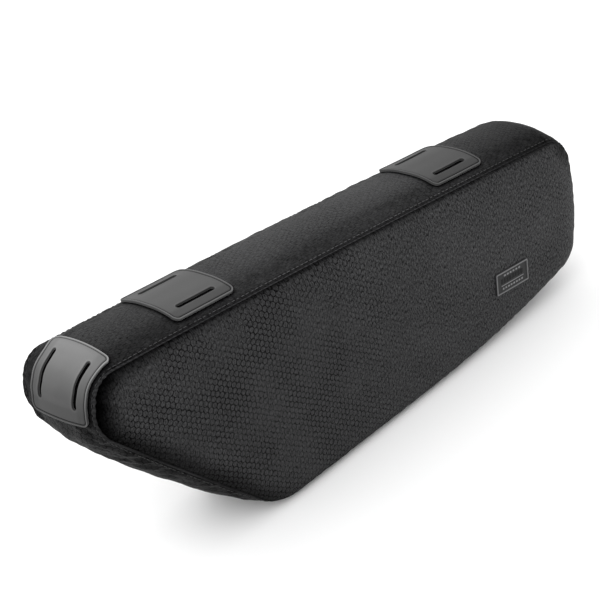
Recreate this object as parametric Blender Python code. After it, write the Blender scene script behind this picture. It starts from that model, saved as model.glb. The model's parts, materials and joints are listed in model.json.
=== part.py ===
"""Bicycle frame bag: two moulded side panels on a padded gusset band, with rubber strap pads, a label and a zip.

X runs from the nose to the rear, Y across the bag from the near side to the far side, and Z up.
The bag stands on the flat stretch of its base. Its origin is the middle of its bounding box, on the ground.

The seam outline is a six-cornered figure in the XZ plane. Both side panels and the gusset band are lofted
from it, and the rubber pads are cut flat and then wrapped onto the band's surface.
"""

import math
from typing import NamedTuple

import bmesh
import bpy
import numpy as np
from mathutils import Matrix, Vector

# Bag body
BAG_LENGTH = 0.3757
BAG_HEIGHT = 0.1349
SEAM_WIDTH = 0.0542
CROWN_HEIGHT = 0.009
BAND_WALL = 0.003
PANEL_WALL = 0.0025
PANEL_BULGE = 0.006
PANEL_RIM = 0.018
SEWN_GAP = 0.0003

# Rubber strap pads
PAD_THICKNESS = 0.0012
PAD_CORNER = 0.0035
TOP_PAD_LENGTH = 0.042
TOP_PAD_WIDTH = 0.0444
FRONT_PAD_FROM_NOSE = 0.081
PAD_SPACING = 0.2009
NOSE_PAD_LENGTH = 0.0422
NOSE_PAD_WIDTH = 0.041
NOSE_PAD_CENTRE = -0.0058
NOSE_PAD_SHIFT = -0.003
SLOT_WIDTH = 0.0028
TOP_SLOT_LENGTH = 0.0264
TOP_SLOT_SPACING = 0.0284
NOSE_SLOT_LENGTH = 0.0254
NOSE_SLOT_SPACING = 0.0258

# Label on the near panel
LABEL_LENGTH = 0.0296
LABEL_HEIGHT = 0.0137
LABEL_THICKNESS = 0.0012
LABEL_BORDER = 0.0012
LABEL_RECESS = 0.0005
LABEL_CORNER = 0.0008

# Zip on the far panel
ZIP_LENGTH = 0.250
ZIP_DROP = 0.032
ZIP_SLIT = 0.007
ZIP_TAPE_WIDTH = 0.018
ZIP_TAPE_THICKNESS = 0.001
ZIP_CHAIN_WIDTH = 0.005
ZIP_CHAIN_HEIGHT = 0.0024
SLIDER_LENGTH = 0.011
SLIDER_WIDTH = 0.009
SLIDER_PLATE = 0.0016
SLIDER_WIRE = 0.0014
PULLER_LENGTH = 0.028
PULLER_WIDTH = 0.0075
PULLER_THICKNESS = 0.0018
PULLER_BAR = 0.002

# How finely the curves are cut into edges
CORNER_STEPS = 6
RIM_STEPS = 6
HOLLOW_STEPS = 4
PAD_LEAST_CELL = 0.0004


class Corner(NamedTuple):
    """A corner of the seam outline and the side that leaves it, as shares of the bag's sizes."""

    name: str
    x_of_length: float
    z_of_height: float
    rounding_of_height: float
    bow_of_side: float
    side_steps: int


class Crown(NamedTuple):
    """How the band arches over the seam at a place round the outline, where 2.5 is halfway along side 2."""

    place: float
    rise_of_crown: float
    flat_of_width: float


class Arch(NamedTuple):
    """The band's section over the seam: its height is (1 - share ** power) ** (1 / root) of the rise.

    The outer and inner faces have an edge at each of these shares of the half width.
    """

    power: float
    root: float
    outer_edges: tuple
    inner_edges: tuple


class Spot(NamedTuple):
    """A place on a side panel, as shares of the bag's length and height."""

    name: str
    x_of_length: float
    z_of_height: float


class Finish(NamedTuple):
    """A plain Principled material."""

    name: str
    colour: tuple
    roughness: float
    metallic: float


OUTLINE = (
    Corner("rear_top", 0.993, 0.697, 0.105, 0.005, 17),
    Corner("nose_top", 0.019, 1.000, 0.068, 0.076, 3),
    Corner("nose_low", -0.003, 0.795, 0.076, 0.005, 9),
    Corner("keel", 0.260, 0.000, 0.117, 0.000, 4),
    Corner("heel", 0.667, 0.000, 0.280, 0.019, 6),
    Corner("tail", 0.974, 0.107, 0.073, 0.074, 6),
)

CROWNS = (
    Crown(0.00, 0.55, 0.00),
    Crown(0.10, 0.88, 0.00),
    Crown(0.20, 1.02, 0.00),
    Crown(0.30, 0.84, 0.12),
    Crown(0.40, 0.94, 0.04),
    Crown(0.52, 0.95, 0.00),
    Crown(0.64, 0.90, 0.04),
    Crown(0.72, 0.77, 0.16),
    Crown(0.80, 0.82, 0.04),
    Crown(0.87, 0.74, 0.00),
    Crown(0.95, 0.36, 0.00),
    Crown(1.00, 0.28, 0.00),
    Crown(1.50, 0.37, 0.00),
    Crown(1.85, 0.32, 0.00),
    Crown(2.00, 0.48, 0.00),
    Crown(2.12, 0.80, 0.00),
    Crown(2.30, 1.00, 0.00),
    Crown(2.70, 0.86, 0.10),
    Crown(3.00, 0.28, 0.40),
    Crown(3.50, 0.28, 0.70),
    Crown(4.00, 0.28, 0.75),
    Crown(4.50, 0.28, 0.75),
    Crown(5.00, 0.28, 0.60),
    Crown(5.50, 0.30, 0.40),
)

ARCH = Arch(2.0, 1.57, (0.12, 0.38, 0.62, 0.80, 0.92, 0.98, 1.0), (0.15, 0.55, 0.85, 1.0))

# The panels' rims lean towards the line between the two ends of the spine
SPOTS = (
    Spot("spine_front", 0.150, 0.660),
    Spot("spine_rear", 0.860, 0.400),
    Spot("label_middle", 0.806, 0.262),
)

FABRIC = Finish("moulded_fabric", (0.035, 0.035, 0.036), 0.75, 0.0)
GUSSET_FABRIC = Finish("gusset_fabric", (0.055, 0.055, 0.056), 0.8, 0.0)
PAD_RUBBER = Finish("pad_rubber", (0.16, 0.16, 0.162), 0.55, 0.0)
LABEL_RUBBER = Finish("label_rubber", (0.05, 0.05, 0.052), 0.6, 0.0)
ZIP_FABRIC = Finish("zip_fabric", (0.02, 0.02, 0.02), 0.8, 0.0)
ZIP_METAL = Finish("zip_metal", (0.08, 0.08, 0.085), 0.4, 0.9)


class Outline:
    """The seam outline, from the rear top corner over the top, nose, lower front, base and rear.

    A place on it counts corners: whole numbers are corners and halves are the middles of sides.
    """

    # Share of the way to where a corner's two sides meet that its rounding keeps straight on
    handle_of_reach = 0.58

    def __init__(self):
        self.count = len(OUTLINE)
        self.corners = np.array([(c.x_of_length * BAG_LENGTH, c.z_of_height * BAG_HEIGHT) for c in OUTLINE])
        sides = np.roll(self.corners, -1, axis=0) - self.corners
        self.lengths = np.linalg.norm(sides, axis=1)
        self.along = sides / self.lengths[:, None]
        self.outward = np.stack([self.along[:, 1], -self.along[:, 0]], axis=1)
        self.places, self.points = self._trace()
        across = np.roll(self.points, -1, axis=0) - np.roll(self.points, 1, axis=0)
        across /= np.linalg.norm(across, axis=1, keepdims=True)
        self.normals = np.stack([across[:, 1], -across[:, 0]], axis=1)

    def _side(self, index, share):
        """Point and unit tangent of a bowed side, at a share of its length."""
        length, along, outward = self.lengths[index], self.along[index], self.outward[index]
        bow = OUTLINE[index].bow_of_side * length
        point = self.corners[index] + share * length * along + 4 * bow * share * (1 - share) * outward
        tangent = length * along + 4 * bow * (1 - 2 * share) * outward
        return point, tangent / np.linalg.norm(tangent)

    def _trim(self, corner, side):
        """Share of a side that a corner's rounding takes, which stays short of its middle."""
        return min(OUTLINE[corner].rounding_of_height * BAG_HEIGHT / self.lengths[side], 0.49)

    def _fillet(self, corner):
        """Points of a corner's rounding: a cubic between two sides, leaving and meeting them on their tangents."""
        start, leaving = self._side(corner - 1, 1 - self._trim(corner, corner - 1))
        end, meeting = self._side(corner, self._trim(corner, corner))
        reach = np.linalg.solve(np.stack([leaving, meeting], axis=1), end - start)
        first = start + self.handle_of_reach * reach[0] * leaving
        second = end - self.handle_of_reach * reach[1] * meeting
        s = np.linspace(0, 1, CORNER_STEPS + 1)[:, None]
        return (1 - s) ** 3 * start + 3 * (1 - s) ** 2 * s * first + 3 * (1 - s) * s**2 * second + s**3 * end

    def _trace(self):
        """Places and points of the edges that every loft round the outline shares."""
        places = []
        points = []
        for index, corner in enumerate(OUTLINE):
            places.extend(np.linspace(index - 0.12, index + 0.12, CORNER_STEPS + 1))
            points.extend(self._fillet(index))
            first = self._trim(index, index)
            last = 1 - self._trim((index + 1) % self.count, index)
            for share in np.linspace(0, 1, corner.side_steps + 1)[1:-1]:
                places.append(index + 0.12 + 0.76 * share)
                points.append(self._side(index, first + (last - first) * share)[0])
        return np.array(places), np.array(points)

    def at(self, places, values):
        """Values given at the outline's own edges, read between them in straight lines."""
        known = np.concatenate([self.places - self.count, self.places, self.places + self.count])
        return np.stack([np.interp(places, known, np.tile(column, 3)) for column in values.T], axis=-1)

    def inset(self, distance):
        """The outline moved inwards.

        Each point goes half the way that keeps the sides parallel and half the way to the nearest point
        of the spine, so that the short nose side narrows but never crosses itself.
        """
        turned = self.outward + np.roll(self.outward, 1, axis=0)
        facing = 1 + (self.outward * np.roll(self.outward, 1, axis=0)).sum(axis=1)
        slides = turned / facing[:, None]
        around = np.arange(-1, self.count + 1)
        parallel = [np.interp(self.places, around, slides[around % self.count, axis]) for axis in (0, 1)]
        front = spot("spine_front")
        run = spot("spine_rear") - front
        share = np.clip((self.points - front) @ run / (run @ run), 0, 1)
        leaning = front + share[:, None] * run - self.points
        leaning /= np.linalg.norm(leaning, axis=1, keepdims=True)
        return self.points + distance * (leaning - np.stack(parallel, axis=1)) / 2


class Band:
    """The gusset band's outer surface, arched over the seams, and the way that things lie on it."""

    def __init__(self, outline):
        self.outline = outline
        self.half = SEAM_WIDTH / 2
        stations = np.array([crown.place for crown in CROWNS])
        rises = np.array([crown.rise_of_crown * CROWN_HEIGHT for crown in CROWNS])
        flats = np.array([crown.flat_of_width for crown in CROWNS])
        self.shape = np.stack(
            [smooth(outline.places, stations, values, outline.count) for values in (rises, flats)], axis=1
        )
        self.track = np.linspace(2.5, 0.1, 4000)
        middle = self.skin(self.track, np.zeros_like(self.track), 0)
        run = np.concatenate([[0], np.cumsum(np.linalg.norm(np.diff(middle, axis=0), axis=1))])
        self.distances = run - np.interp(-1.0, -self.track, run)

    def arch(self, across, flat):
        """Height of the arch over the seam, as a share of its rise."""
        share = np.clip((np.abs(across) / self.half - flat) / (1 - flat), 0, 1)
        return (1 - share**ARCH.power) ** (1 / ARCH.root)

    def skin(self, places, across, lift):
        """Points at a height above the band's outer surface, measured square to it."""
        x, z = self.outline.at(places, self.outline.points).T
        normal_x, normal_z = self.outline.at(places, self.outline.normals).T
        rise, flat = self.outline.at(places, self.shape).T
        step = 1e-5
        slope = rise * (self.arch(across + step, flat) - self.arch(across - step, flat)) / (2 * step)
        tilt = np.sqrt(1 + slope**2)
        height = rise * self.arch(across, flat) + lift / tilt
        return np.stack([x + normal_x * height, across - lift * slope / tilt, z + normal_z * height], axis=-1)

    def place_at(self, distance):
        """Place at a distance along the band's middle, counted from the nose's top corner towards the rear."""
        return np.interp(distance, self.distances, self.track)

    def distance_at(self, place):
        """Distance along the band's middle at a place, where the track covers it."""
        return np.interp(-place, -self.track, self.distances)

    def section(self, index):
        """The band's wall at one edge of its loft: the outer face, the far end, the inner face, the near end."""
        rise, flat = self.shape[index]
        outer = both_sides(ARCH.outer_edges) * self.half
        inner = both_sides(ARCH.inner_edges)[::-1] * (self.half - BAND_WALL)
        wall_end = np.array([self.half])
        across = np.concatenate([outer, wall_end, inner, -wall_end])
        inner_height = rise * self.arch(inner * self.half / (self.half - BAND_WALL), flat) - BAND_WALL
        height = np.concatenate([rise * self.arch(outer, flat), [-BAND_WALL], inner_height, [-BAND_WALL]])
        x, z = self.outline.points[index]
        normal_x, normal_z = self.outline.normals[index]
        return np.stack([x + normal_x * height, across, z + normal_z * height], axis=-1)


def spot(name):
    """A named place on a side panel, in XZ."""
    found = next(row for row in SPOTS if row.name == name)
    return np.array((found.x_of_length * BAG_LENGTH, found.z_of_height * BAG_HEIGHT))


def both_sides(shares):
    """Shares of a half width on both sides of the middle, in rising order."""
    return np.concatenate([-np.array(shares[::-1]), shares])


def smooth(places, stations, values, period):
    """A curve round a loop that passes through its stations and never overshoots them."""
    stations = np.concatenate([stations - period, stations, stations + period])
    values = np.tile(values, 3)
    rates = np.diff(values) / np.diff(stations)
    before, after = rates[:-1], rates[1:]
    is_steady = before * after > 0
    slopes = np.where(is_steady, 2 * before * after / np.where(is_steady, before + after, 1), 0)
    slopes = np.concatenate([[0], slopes, [0]])
    left = np.searchsorted(stations, places, side="right") - 1
    gap = stations[left + 1] - stations[left]
    t = (places - stations[left]) / gap
    return (
        (2 * t**3 - 3 * t**2 + 1) * values[left]
        + (t**3 - 2 * t**2 + t) * gap * slopes[left]
        + (3 * t**2 - 2 * t**3) * values[left + 1]
        + (t**3 - t**2) * gap * slopes[left + 1]
    )


def material(finish):
    """A Principled material, made once for each finish."""
    made = bpy.data.materials.get(finish.name)
    if made is None:
        made = bpy.data.materials.new(finish.name)
        made.use_nodes = True
        shader = made.node_tree.nodes["Principled BSDF"]
        shader.inputs["Base Color"].default_value = (*finish.colour, 1)
        shader.inputs["Roughness"].default_value = finish.roughness
        shader.inputs["Metallic"].default_value = finish.metallic
    return made


def add_part(name, mesh, home, finish):
    """A named piece of the bag, smooth except at its sharp edges."""
    obj = bpy.data.objects.new(name, mesh)
    home.objects.link(obj)
    mesh.materials.append(material(finish))
    mesh.shade_smooth()
    mesh.set_sharp_from_angle(angle=math.radians(40))
    return obj


def add_tool(name, mesh, tools):
    """A wireframe shape that is only cut from a piece or joined to it."""
    obj = bpy.data.objects.new(name, mesh)
    obj.display_type = "WIRE"
    obj.hide_render = True
    tools.objects.link(obj)
    return obj


def combine(obj, tool, operation):
    """Cuts a tool from a piece, or joins it to one, with an exact Boolean."""
    modifier = obj.modifiers.new(tool.name, "BOOLEAN")
    modifier.operation = operation
    modifier.solver = "EXACT"
    modifier.object = tool


def lofted_mesh(name, rings, is_loop):
    """A closed body through rings of points: a loop that meets itself, or a tube with its two ends filled."""
    count = len(rings[0])
    faces = []
    for row in range(len(rings) if is_loop else len(rings) - 1):
        here = row * count
        there = (row + 1) % len(rings) * count
        for i in range(count):
            j = (i + 1) % count
            faces.append((here + i, here + j, there + j, there + i))
    if not is_loop:
        faces.append(range(count))
        faces.append(range((len(rings) - 1) * count, len(rings) * count))
    mesh = bpy.data.meshes.new(name)
    mesh.from_pydata(np.concatenate(rings).tolist(), [], faces)
    shape = bmesh.new()
    shape.from_mesh(mesh)
    bmesh.ops.recalc_face_normals(shape, faces=shape.faces)
    shape.to_mesh(mesh)
    shape.free()
    return mesh


def rounded_rectangle(length, width, corner, centre=(0.0, 0.0), steps=4):
    """Points of a rectangle with round corners, or of a slot where the corner is half the width."""
    points = []
    for quarter, (sign_x, sign_y) in enumerate(((1, 1), (-1, 1), (-1, -1), (1, -1))):
        middle_x = centre[0] + sign_x * (length / 2 - corner)
        middle_y = centre[1] + sign_y * (width / 2 - corner)
        for angle in np.linspace(quarter * math.pi / 2, (quarter + 1) * math.pi / 2, steps + 1):
            points.append((middle_x + corner * math.cos(angle), middle_y + corner * math.sin(angle)))
    return points


def plate_mesh(name, loops, thickness):
    """A flat plate in XY that stands on z = 0: the first loop is its outline and the others are holes."""
    curve = bpy.data.curves.new(name, "CURVE")
    curve.dimensions = "2D"
    curve.fill_mode = "BOTH"
    curve.extrude = thickness / 2
    for loop in loops:
        spline = curve.splines.new("POLY")
        spline.points.add(len(loop) - 1)
        for point, (x, y) in zip(spline.points, loop):
            point.co = (x, y, 0, 1)
        spline.use_cyclic_u = True
    flat = bpy.data.objects.new(name + "_flat", curve)
    bpy.context.scene.collection.objects.link(flat)
    bpy.context.view_layer.update()
    graph = bpy.context.evaluated_depsgraph_get()
    mesh = bpy.data.meshes.new_from_object(flat.evaluated_get(graph))
    bpy.data.objects.remove(flat)
    shape = bmesh.new()
    shape.from_mesh(mesh)
    bmesh.ops.remove_doubles(shape, verts=shape.verts, dist=1e-6)
    bmesh.ops.translate(shape, verts=shape.verts, vec=(0, 0, thickness / 2))
    bmesh.ops.recalc_face_normals(shape, faces=shape.faces)
    shape.to_mesh(mesh)
    shape.free()
    mesh.name = name
    return mesh


def gusset_band(band, home):
    """The padded band that joins the two panels: a wall lofted once round the seam outline."""
    rings = [band.section(index) for index in range(len(band.outline.points))]
    add_part("gusset_band", lofted_mesh("gusset_band", rings, is_loop=True), home, GUSSET_FABRIC)


def panel_mesh(name, outline, side):
    """A moulded dish: a rounded rim that rises steeply from the seam to a flat middle.

    side is -1 for the near panel and 1 for the far one. The rim's flat back seats on the band's edge.
    """
    seat = SEAM_WIDTH / 2 + SEWN_GAP

    def ring(start, width, depth, angle):
        x, z = outline.inset(start + width * (1 - math.cos(angle))).T
        return np.stack([x, np.full_like(x, side * (seat + depth * math.sin(angle))), z], axis=-1)

    hollow = np.linspace(math.pi / 2, 0, HOLLOW_STEPS + 1)
    rim = np.linspace(0, math.pi / 2, RIM_STEPS + 1)
    rings = [ring(PANEL_WALL, PANEL_RIM - PANEL_WALL, PANEL_BULGE - PANEL_WALL, angle) for angle in hollow]
    rings += [ring(0.0, PANEL_RIM, PANEL_BULGE, angle) for angle in rim]
    return lofted_mesh(name, rings, is_loop=False)


def panel_frame(outline, side, point, height):
    """Places a flat layout on a panel: X along the top line to the viewer's right, Y up the panel and Z out of it.

    point is in XZ, and height is the distance out from the panel's flat middle.
    """
    line = (outline.corners[0] - outline.corners[1]) * -side
    along = Vector((line[0], 0, line[1])).normalized()
    out = Vector((0, side, 0))
    turn = Matrix((along, out.cross(along), out)).transposed().to_4x4()
    face = side * (SEAM_WIDTH / 2 + SEWN_GAP + PANEL_BULGE + height)
    return Matrix.Translation((point[0], face, point[1])) @ turn


def side_panels(outline, home, tools):
    """The near panel, and the far one with its slit for the zip."""
    add_part("near_side_panel", panel_mesh("near_side_panel", outline, -1), home, FABRIC)
    far = add_part("far_side_panel", panel_mesh("far_side_panel", outline, 1), home, FABRIC)
    slit = plate_mesh("zip_slit", [rounded_rectangle(ZIP_LENGTH, ZIP_SLIT, ZIP_SLIT / 2)], 2 * PANEL_WALL)
    slit.transform(zip_frame(outline, -1.5 * PANEL_WALL))
    combine(far, add_tool("zip_slit", slit, tools), "DIFFERENCE")


def label_patch(outline, home, tools):
    """A small moulded rubber label with a raised border, parallel to the bag's top line."""
    place = spot("label_middle")
    patch = plate_mesh(
        "label_patch", [rounded_rectangle(LABEL_LENGTH, LABEL_HEIGHT, LABEL_CORNER)], LABEL_THICKNESS
    )
    patch.transform(panel_frame(outline, -1, place, SEWN_GAP))
    label = add_part("label_patch", patch, home, LABEL_RUBBER)
    length = LABEL_LENGTH - 2 * LABEL_BORDER
    height = LABEL_HEIGHT - 2 * LABEL_BORDER
    field = plate_mesh("label_field", [rounded_rectangle(length, height, LABEL_CORNER)], LABEL_THICKNESS)
    field.transform(panel_frame(outline, -1, place, SEWN_GAP + LABEL_THICKNESS - LABEL_RECESS))
    combine(label, add_tool("label_field", field, tools), "DIFFERENCE")


def zip_frame(outline, height):
    """Places a flat layout on the zip's line, which lies below the top line and is centred on it."""
    rear, nose = outline.corners[:2]
    run = (nose - rear) / np.linalg.norm(nose - rear)
    middle = (rear + nose) / 2 + ZIP_DROP * np.array((-run[1], run[0]))
    return panel_frame(outline, 1, middle, height)


def zip_pieces(outline, home, tools):
    """The closed zip: a tape behind the slit, the chain in it, and the slider with its puller near the nose."""
    tape_face = -PANEL_WALL - SEWN_GAP
    tape_length = ZIP_LENGTH + ZIP_TAPE_WIDTH - ZIP_SLIT
    tape = plate_mesh("zip_tape", [rounded_rectangle(tape_length, ZIP_TAPE_WIDTH, PAD_CORNER)], ZIP_TAPE_THICKNESS)
    tape.transform(zip_frame(outline, tape_face - ZIP_TAPE_THICKNESS))
    add_part("zip_tape", tape, home, ZIP_FABRIC)

    chain_length = ZIP_LENGTH - ZIP_SLIT + ZIP_CHAIN_WIDTH
    chain_outline = rounded_rectangle(chain_length, ZIP_CHAIN_WIDTH, ZIP_CHAIN_WIDTH / 2)
    chain = plate_mesh("zip_chain", [chain_outline], ZIP_CHAIN_HEIGHT)
    chain.transform(zip_frame(outline, tape_face + SEWN_GAP))
    add_part("zip_chain", chain, home, ZIP_FABRIC)

    chain_top = tape_face + SEWN_GAP + ZIP_CHAIN_HEIGHT
    slider_base = max(chain_top, 0.0) + SEWN_GAP
    slider_x = chain_length / 2 - SLIDER_LENGTH
    at_nose = zip_frame(outline, slider_base) @ Matrix.Translation((slider_x, 0, 0))
    zip_slider(at_nose, home, tools)
    zip_puller(at_nose, home)


def zip_slider(frame, home, tools):
    """A plate over the chain with a square bridge on it, across the zip, that holds the puller's bar.

    The bridge is a flat staple, cut from a plate that stands on edge.
    """
    window = PULLER_BAR / 2 + SEWN_GAP
    reach = window + SLIDER_WIRE
    clear = PULLER_THICKNESS + 2 * SEWN_GAP
    body = plate_mesh("zip_slider", [rounded_rectangle(SLIDER_LENGTH, SLIDER_WIDTH, SLIDER_WIDTH / 4)], SLIDER_PLATE)
    body.transform(frame)
    slider = add_part("zip_slider", body, home, ZIP_METAL)
    low = SLIDER_PLATE / 2
    high = SLIDER_PLATE + clear + SLIDER_WIRE
    staple = [(-reach, low), (reach, low), (reach, high), (-reach, high)]
    hole = [(-window, SLIDER_PLATE), (window, SLIDER_PLATE), (window, high - SLIDER_WIRE), (-window, high - SLIDER_WIRE)]
    bridge = plate_mesh("zip_bridge", [staple, hole[::-1]], 2 * SLIDER_WIRE)
    upright = Matrix(((0, 0, 1, -SLIDER_WIRE), (1, 0, 0, 0), (0, 1, 0, 0), (0, 0, 0, 1)))
    bridge.transform(frame @ upright)
    combine(slider, add_tool("zip_bridge", bridge, tools), "UNION")


def zip_puller(frame, home):
    """A soft tab that hangs down the panel, with its top bar through the slider's bridge."""
    middle = PULLER_BAR / 2 - PULLER_LENGTH / 2
    outline = rounded_rectangle(PULLER_WIDTH, PULLER_LENGTH, PULLER_WIDTH / 4, (0, middle))
    eye_width = 2 * SLIDER_WIRE + 2 * SEWN_GAP
    eye_length = SLIDER_WIRE + 2 * SEWN_GAP
    eye = rounded_rectangle(eye_width, eye_length, SEWN_GAP, (0, -PULLER_BAR / 2 - eye_length / 2), steps=1)
    mesh = plate_mesh("zip_puller", [outline, eye[::-1]], PULLER_THICKNESS)
    mesh.transform(frame @ Matrix.Translation((0, 0, SLIDER_PLATE + SEWN_GAP)))
    add_part("zip_puller", mesh, home, PAD_RUBBER)


def cut_along_band(shape, band, size, centre, shift):
    """Cuts a flat pad along the lines where the band under it has edges, so that the two bend alike.

    The fill's own edges that aren't on such a line are dropped.
    """
    length, width = size
    rings = band.distance_at(band.outline.places) - centre
    rows = both_sides(ARCH.outer_edges) * band.half - shift
    grids = [
        rings[np.abs(rings) < length / 2 - PAD_LEAST_CELL],
        rows[np.abs(rows) < width / 2 - PAD_LEAST_CELL],
    ]
    for normal, lines in zip((Vector((1, 0, 0)), Vector((0, 1, 0))), grids):
        for line in lines:
            everything = shape.verts[:] + shape.edges[:] + shape.faces[:]
            bmesh.ops.bisect_plane(shape, geom=everything, dist=1e-7, plane_co=normal * line, plane_no=normal)

    def is_on_line(edge):
        ends = np.array([vert.co[:2] for vert in edge.verts])
        return any((np.abs(grids[axis][:, None] - ends[:, axis]).max(axis=1) < 1e-6).any() for axis in (0, 1))

    spare = [edge for edge in shape.edges if edge.calc_face_angle() < 1e-3 and not is_on_line(edge)]
    bmesh.ops.dissolve_edges(shape, edges=spare, use_verts=False)
    bmesh.ops.triangulate(shape, faces=shape.faces[:])


def wrapped_pad(name, band, size, slot, centre, shift, home):
    """A rubber pad with two strap slots, cut flat and then wrapped onto the band.

    size is the pad's length and width, slot the slots' length and spacing, centre the distance of the pad's
    middle from the nose's top corner along the band, and shift its distance from the band's middle.
    """
    length, width = size
    slot_length, slot_spacing = slot
    loops = [rounded_rectangle(length, width, PAD_CORNER)]
    for side in (-1, 1):
        slot_centre = (0, side * slot_spacing / 2)
        loops.append(rounded_rectangle(slot_length, SLOT_WIDTH, SLOT_WIDTH / 2, slot_centre, steps=2)[::-1])
    mesh = plate_mesh(name, loops, PAD_THICKNESS)
    shape = bmesh.new()
    shape.from_mesh(mesh)
    cut_along_band(shape, band, size, centre, shift)
    flat = np.array([vert.co for vert in shape.verts])
    places = band.place_at(centre + flat[:, 0])
    wrapped = band.skin(places, flat[:, 1] + shift, SEWN_GAP + flat[:, 2])
    for vert, point in zip(shape.verts, wrapped):
        vert.co = point
    shape.to_mesh(mesh)
    shape.free()
    add_part(name, mesh, home, PAD_RUBBER)


def strap_pads(band, home):
    """Two pads on the top and one round the nose, each with a pair of slots for a strap."""
    top_size = (TOP_PAD_LENGTH, TOP_PAD_WIDTH)
    top_slot = (TOP_SLOT_LENGTH, TOP_SLOT_SPACING)
    wrapped_pad("top_pad_front", band, top_size, top_slot, FRONT_PAD_FROM_NOSE, 0.0, home)
    wrapped_pad("top_pad_rear", band, top_size, top_slot, FRONT_PAD_FROM_NOSE + PAD_SPACING, 0.0, home)
    nose_size = (NOSE_PAD_LENGTH, NOSE_PAD_WIDTH)
    nose_slot = (NOSE_SLOT_LENGTH, NOSE_SLOT_SPACING)
    wrapped_pad("nose_pad", band, nose_size, nose_slot, NOSE_PAD_CENTRE, NOSE_PAD_SHIFT, home)


def stand_on_origin(home, tools):
    """Moves every mesh so that the bounding box's middle is over the origin and its bottom is on the ground."""
    graph = bpy.context.evaluated_depsgraph_get()
    corners = []
    for obj in home.objects:
        corners.extend(tuple(corner) for corner in obj.evaluated_get(graph).bound_box)
    low = np.min(corners, axis=0)
    high = np.max(corners, axis=0)
    move = Matrix.Translation((-(low[0] + high[0]) / 2, -(low[1] + high[1]) / 2, -low[2]))
    for obj in list(home.objects) + list(tools.objects):
        obj.data.transform(move)


def main():
    """Clears the scene and models the bag."""
    for obj in list(bpy.data.objects):
        bpy.data.objects.remove(obj, do_unlink=True)
    home = bpy.data.collections.new("bicycle_frame_bag")
    tools = bpy.data.collections.new("cutting_tools")
    tools.hide_render = True
    for collection in (home, tools):
        bpy.context.scene.collection.children.link(collection)
    outline = Outline()
    band = Band(outline)
    gusset_band(band, home)
    side_panels(outline, home, tools)
    label_patch(outline, home, tools)
    zip_pieces(outline, home, tools)
    strap_pads(band, home)
    bpy.context.view_layer.update()
    stand_on_origin(home, tools)


main()
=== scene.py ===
"""The looks of a moulded bicycle frame bag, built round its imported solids.

The bag stands on its flat base. X runs from the nose to the rear, Y from the near side to the far side with
the zip, and Z up. Every soft piece is a numpy surface that follows the same seam outline as the solids.
"""

import json
import logging
import math
from dataclasses import dataclass, field
from enum import Enum
from typing import NamedTuple, Optional, Sequence

import bpy
import numpy as np
from mathutils import Matrix, Vector

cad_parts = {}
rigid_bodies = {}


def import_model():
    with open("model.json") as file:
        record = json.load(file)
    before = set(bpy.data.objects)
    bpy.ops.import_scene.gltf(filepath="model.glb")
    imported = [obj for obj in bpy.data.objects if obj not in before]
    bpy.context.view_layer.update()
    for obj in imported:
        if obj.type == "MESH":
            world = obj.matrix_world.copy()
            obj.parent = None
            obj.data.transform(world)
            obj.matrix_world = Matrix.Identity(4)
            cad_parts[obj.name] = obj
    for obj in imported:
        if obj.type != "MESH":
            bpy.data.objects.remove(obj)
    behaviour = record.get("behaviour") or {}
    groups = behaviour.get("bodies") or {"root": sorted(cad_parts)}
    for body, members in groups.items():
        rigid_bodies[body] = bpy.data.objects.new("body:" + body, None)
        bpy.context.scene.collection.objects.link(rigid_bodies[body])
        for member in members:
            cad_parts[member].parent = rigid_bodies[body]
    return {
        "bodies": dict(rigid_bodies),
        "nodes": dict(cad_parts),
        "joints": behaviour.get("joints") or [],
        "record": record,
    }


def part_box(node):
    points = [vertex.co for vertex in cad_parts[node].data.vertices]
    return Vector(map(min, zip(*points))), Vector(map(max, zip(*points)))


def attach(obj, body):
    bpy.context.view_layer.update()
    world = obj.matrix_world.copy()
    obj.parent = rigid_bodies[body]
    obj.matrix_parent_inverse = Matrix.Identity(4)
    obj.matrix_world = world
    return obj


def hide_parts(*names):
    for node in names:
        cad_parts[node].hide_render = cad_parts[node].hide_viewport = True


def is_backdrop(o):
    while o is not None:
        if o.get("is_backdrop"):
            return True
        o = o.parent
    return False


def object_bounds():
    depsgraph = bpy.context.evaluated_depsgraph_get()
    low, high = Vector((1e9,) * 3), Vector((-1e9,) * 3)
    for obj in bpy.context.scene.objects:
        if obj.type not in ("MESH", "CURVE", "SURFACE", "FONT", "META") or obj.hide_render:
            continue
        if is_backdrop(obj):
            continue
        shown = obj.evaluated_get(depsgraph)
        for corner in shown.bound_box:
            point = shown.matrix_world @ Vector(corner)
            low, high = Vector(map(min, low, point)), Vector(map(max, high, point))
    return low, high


Array = np.ndarray
Tree = bpy.types.NodeTree
Node = bpy.types.Node
Socket = bpy.types.NodeSocket
Piece = bpy.types.Object
MM = 0.001
LOG = logging.getLogger("frame_bag")


class Side(Enum):
    """The two faces of the bag, as the sign of Y."""

    NEAR = -1
    FAR = 1


class Corner(NamedTuple):
    """A corner of the seam outline and the side that leaves it, as shares of the bag's sizes."""

    name: str
    x_of_length: float
    z_of_height: float
    rounding_of_height: float
    bow_of_side: float


class Crown(NamedTuple):
    """How the band lies at a place round the outline, where 2.5 is halfway along side 2.

    The arch's rise and flat middle are shares, and the fabric's puckers and creases are in millimetres.
    """

    place: float
    rise_of_crown: float
    flat_of_width: float
    pucker_mm: float
    crease_mm: float


OUTLINE = (
    Corner("rear_top", 0.993, 0.697, 0.105, 0.005),
    Corner("nose_top", 0.019, 1.000, 0.068, 0.076),
    Corner("nose_low", -0.003, 0.795, 0.076, 0.005),
    Corner("keel", 0.260, 0.000, 0.117, 0.000),
    Corner("heel", 0.667, 0.000, 0.280, 0.019),
    Corner("tail", 0.974, 0.107, 0.073, 0.074),
)

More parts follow.
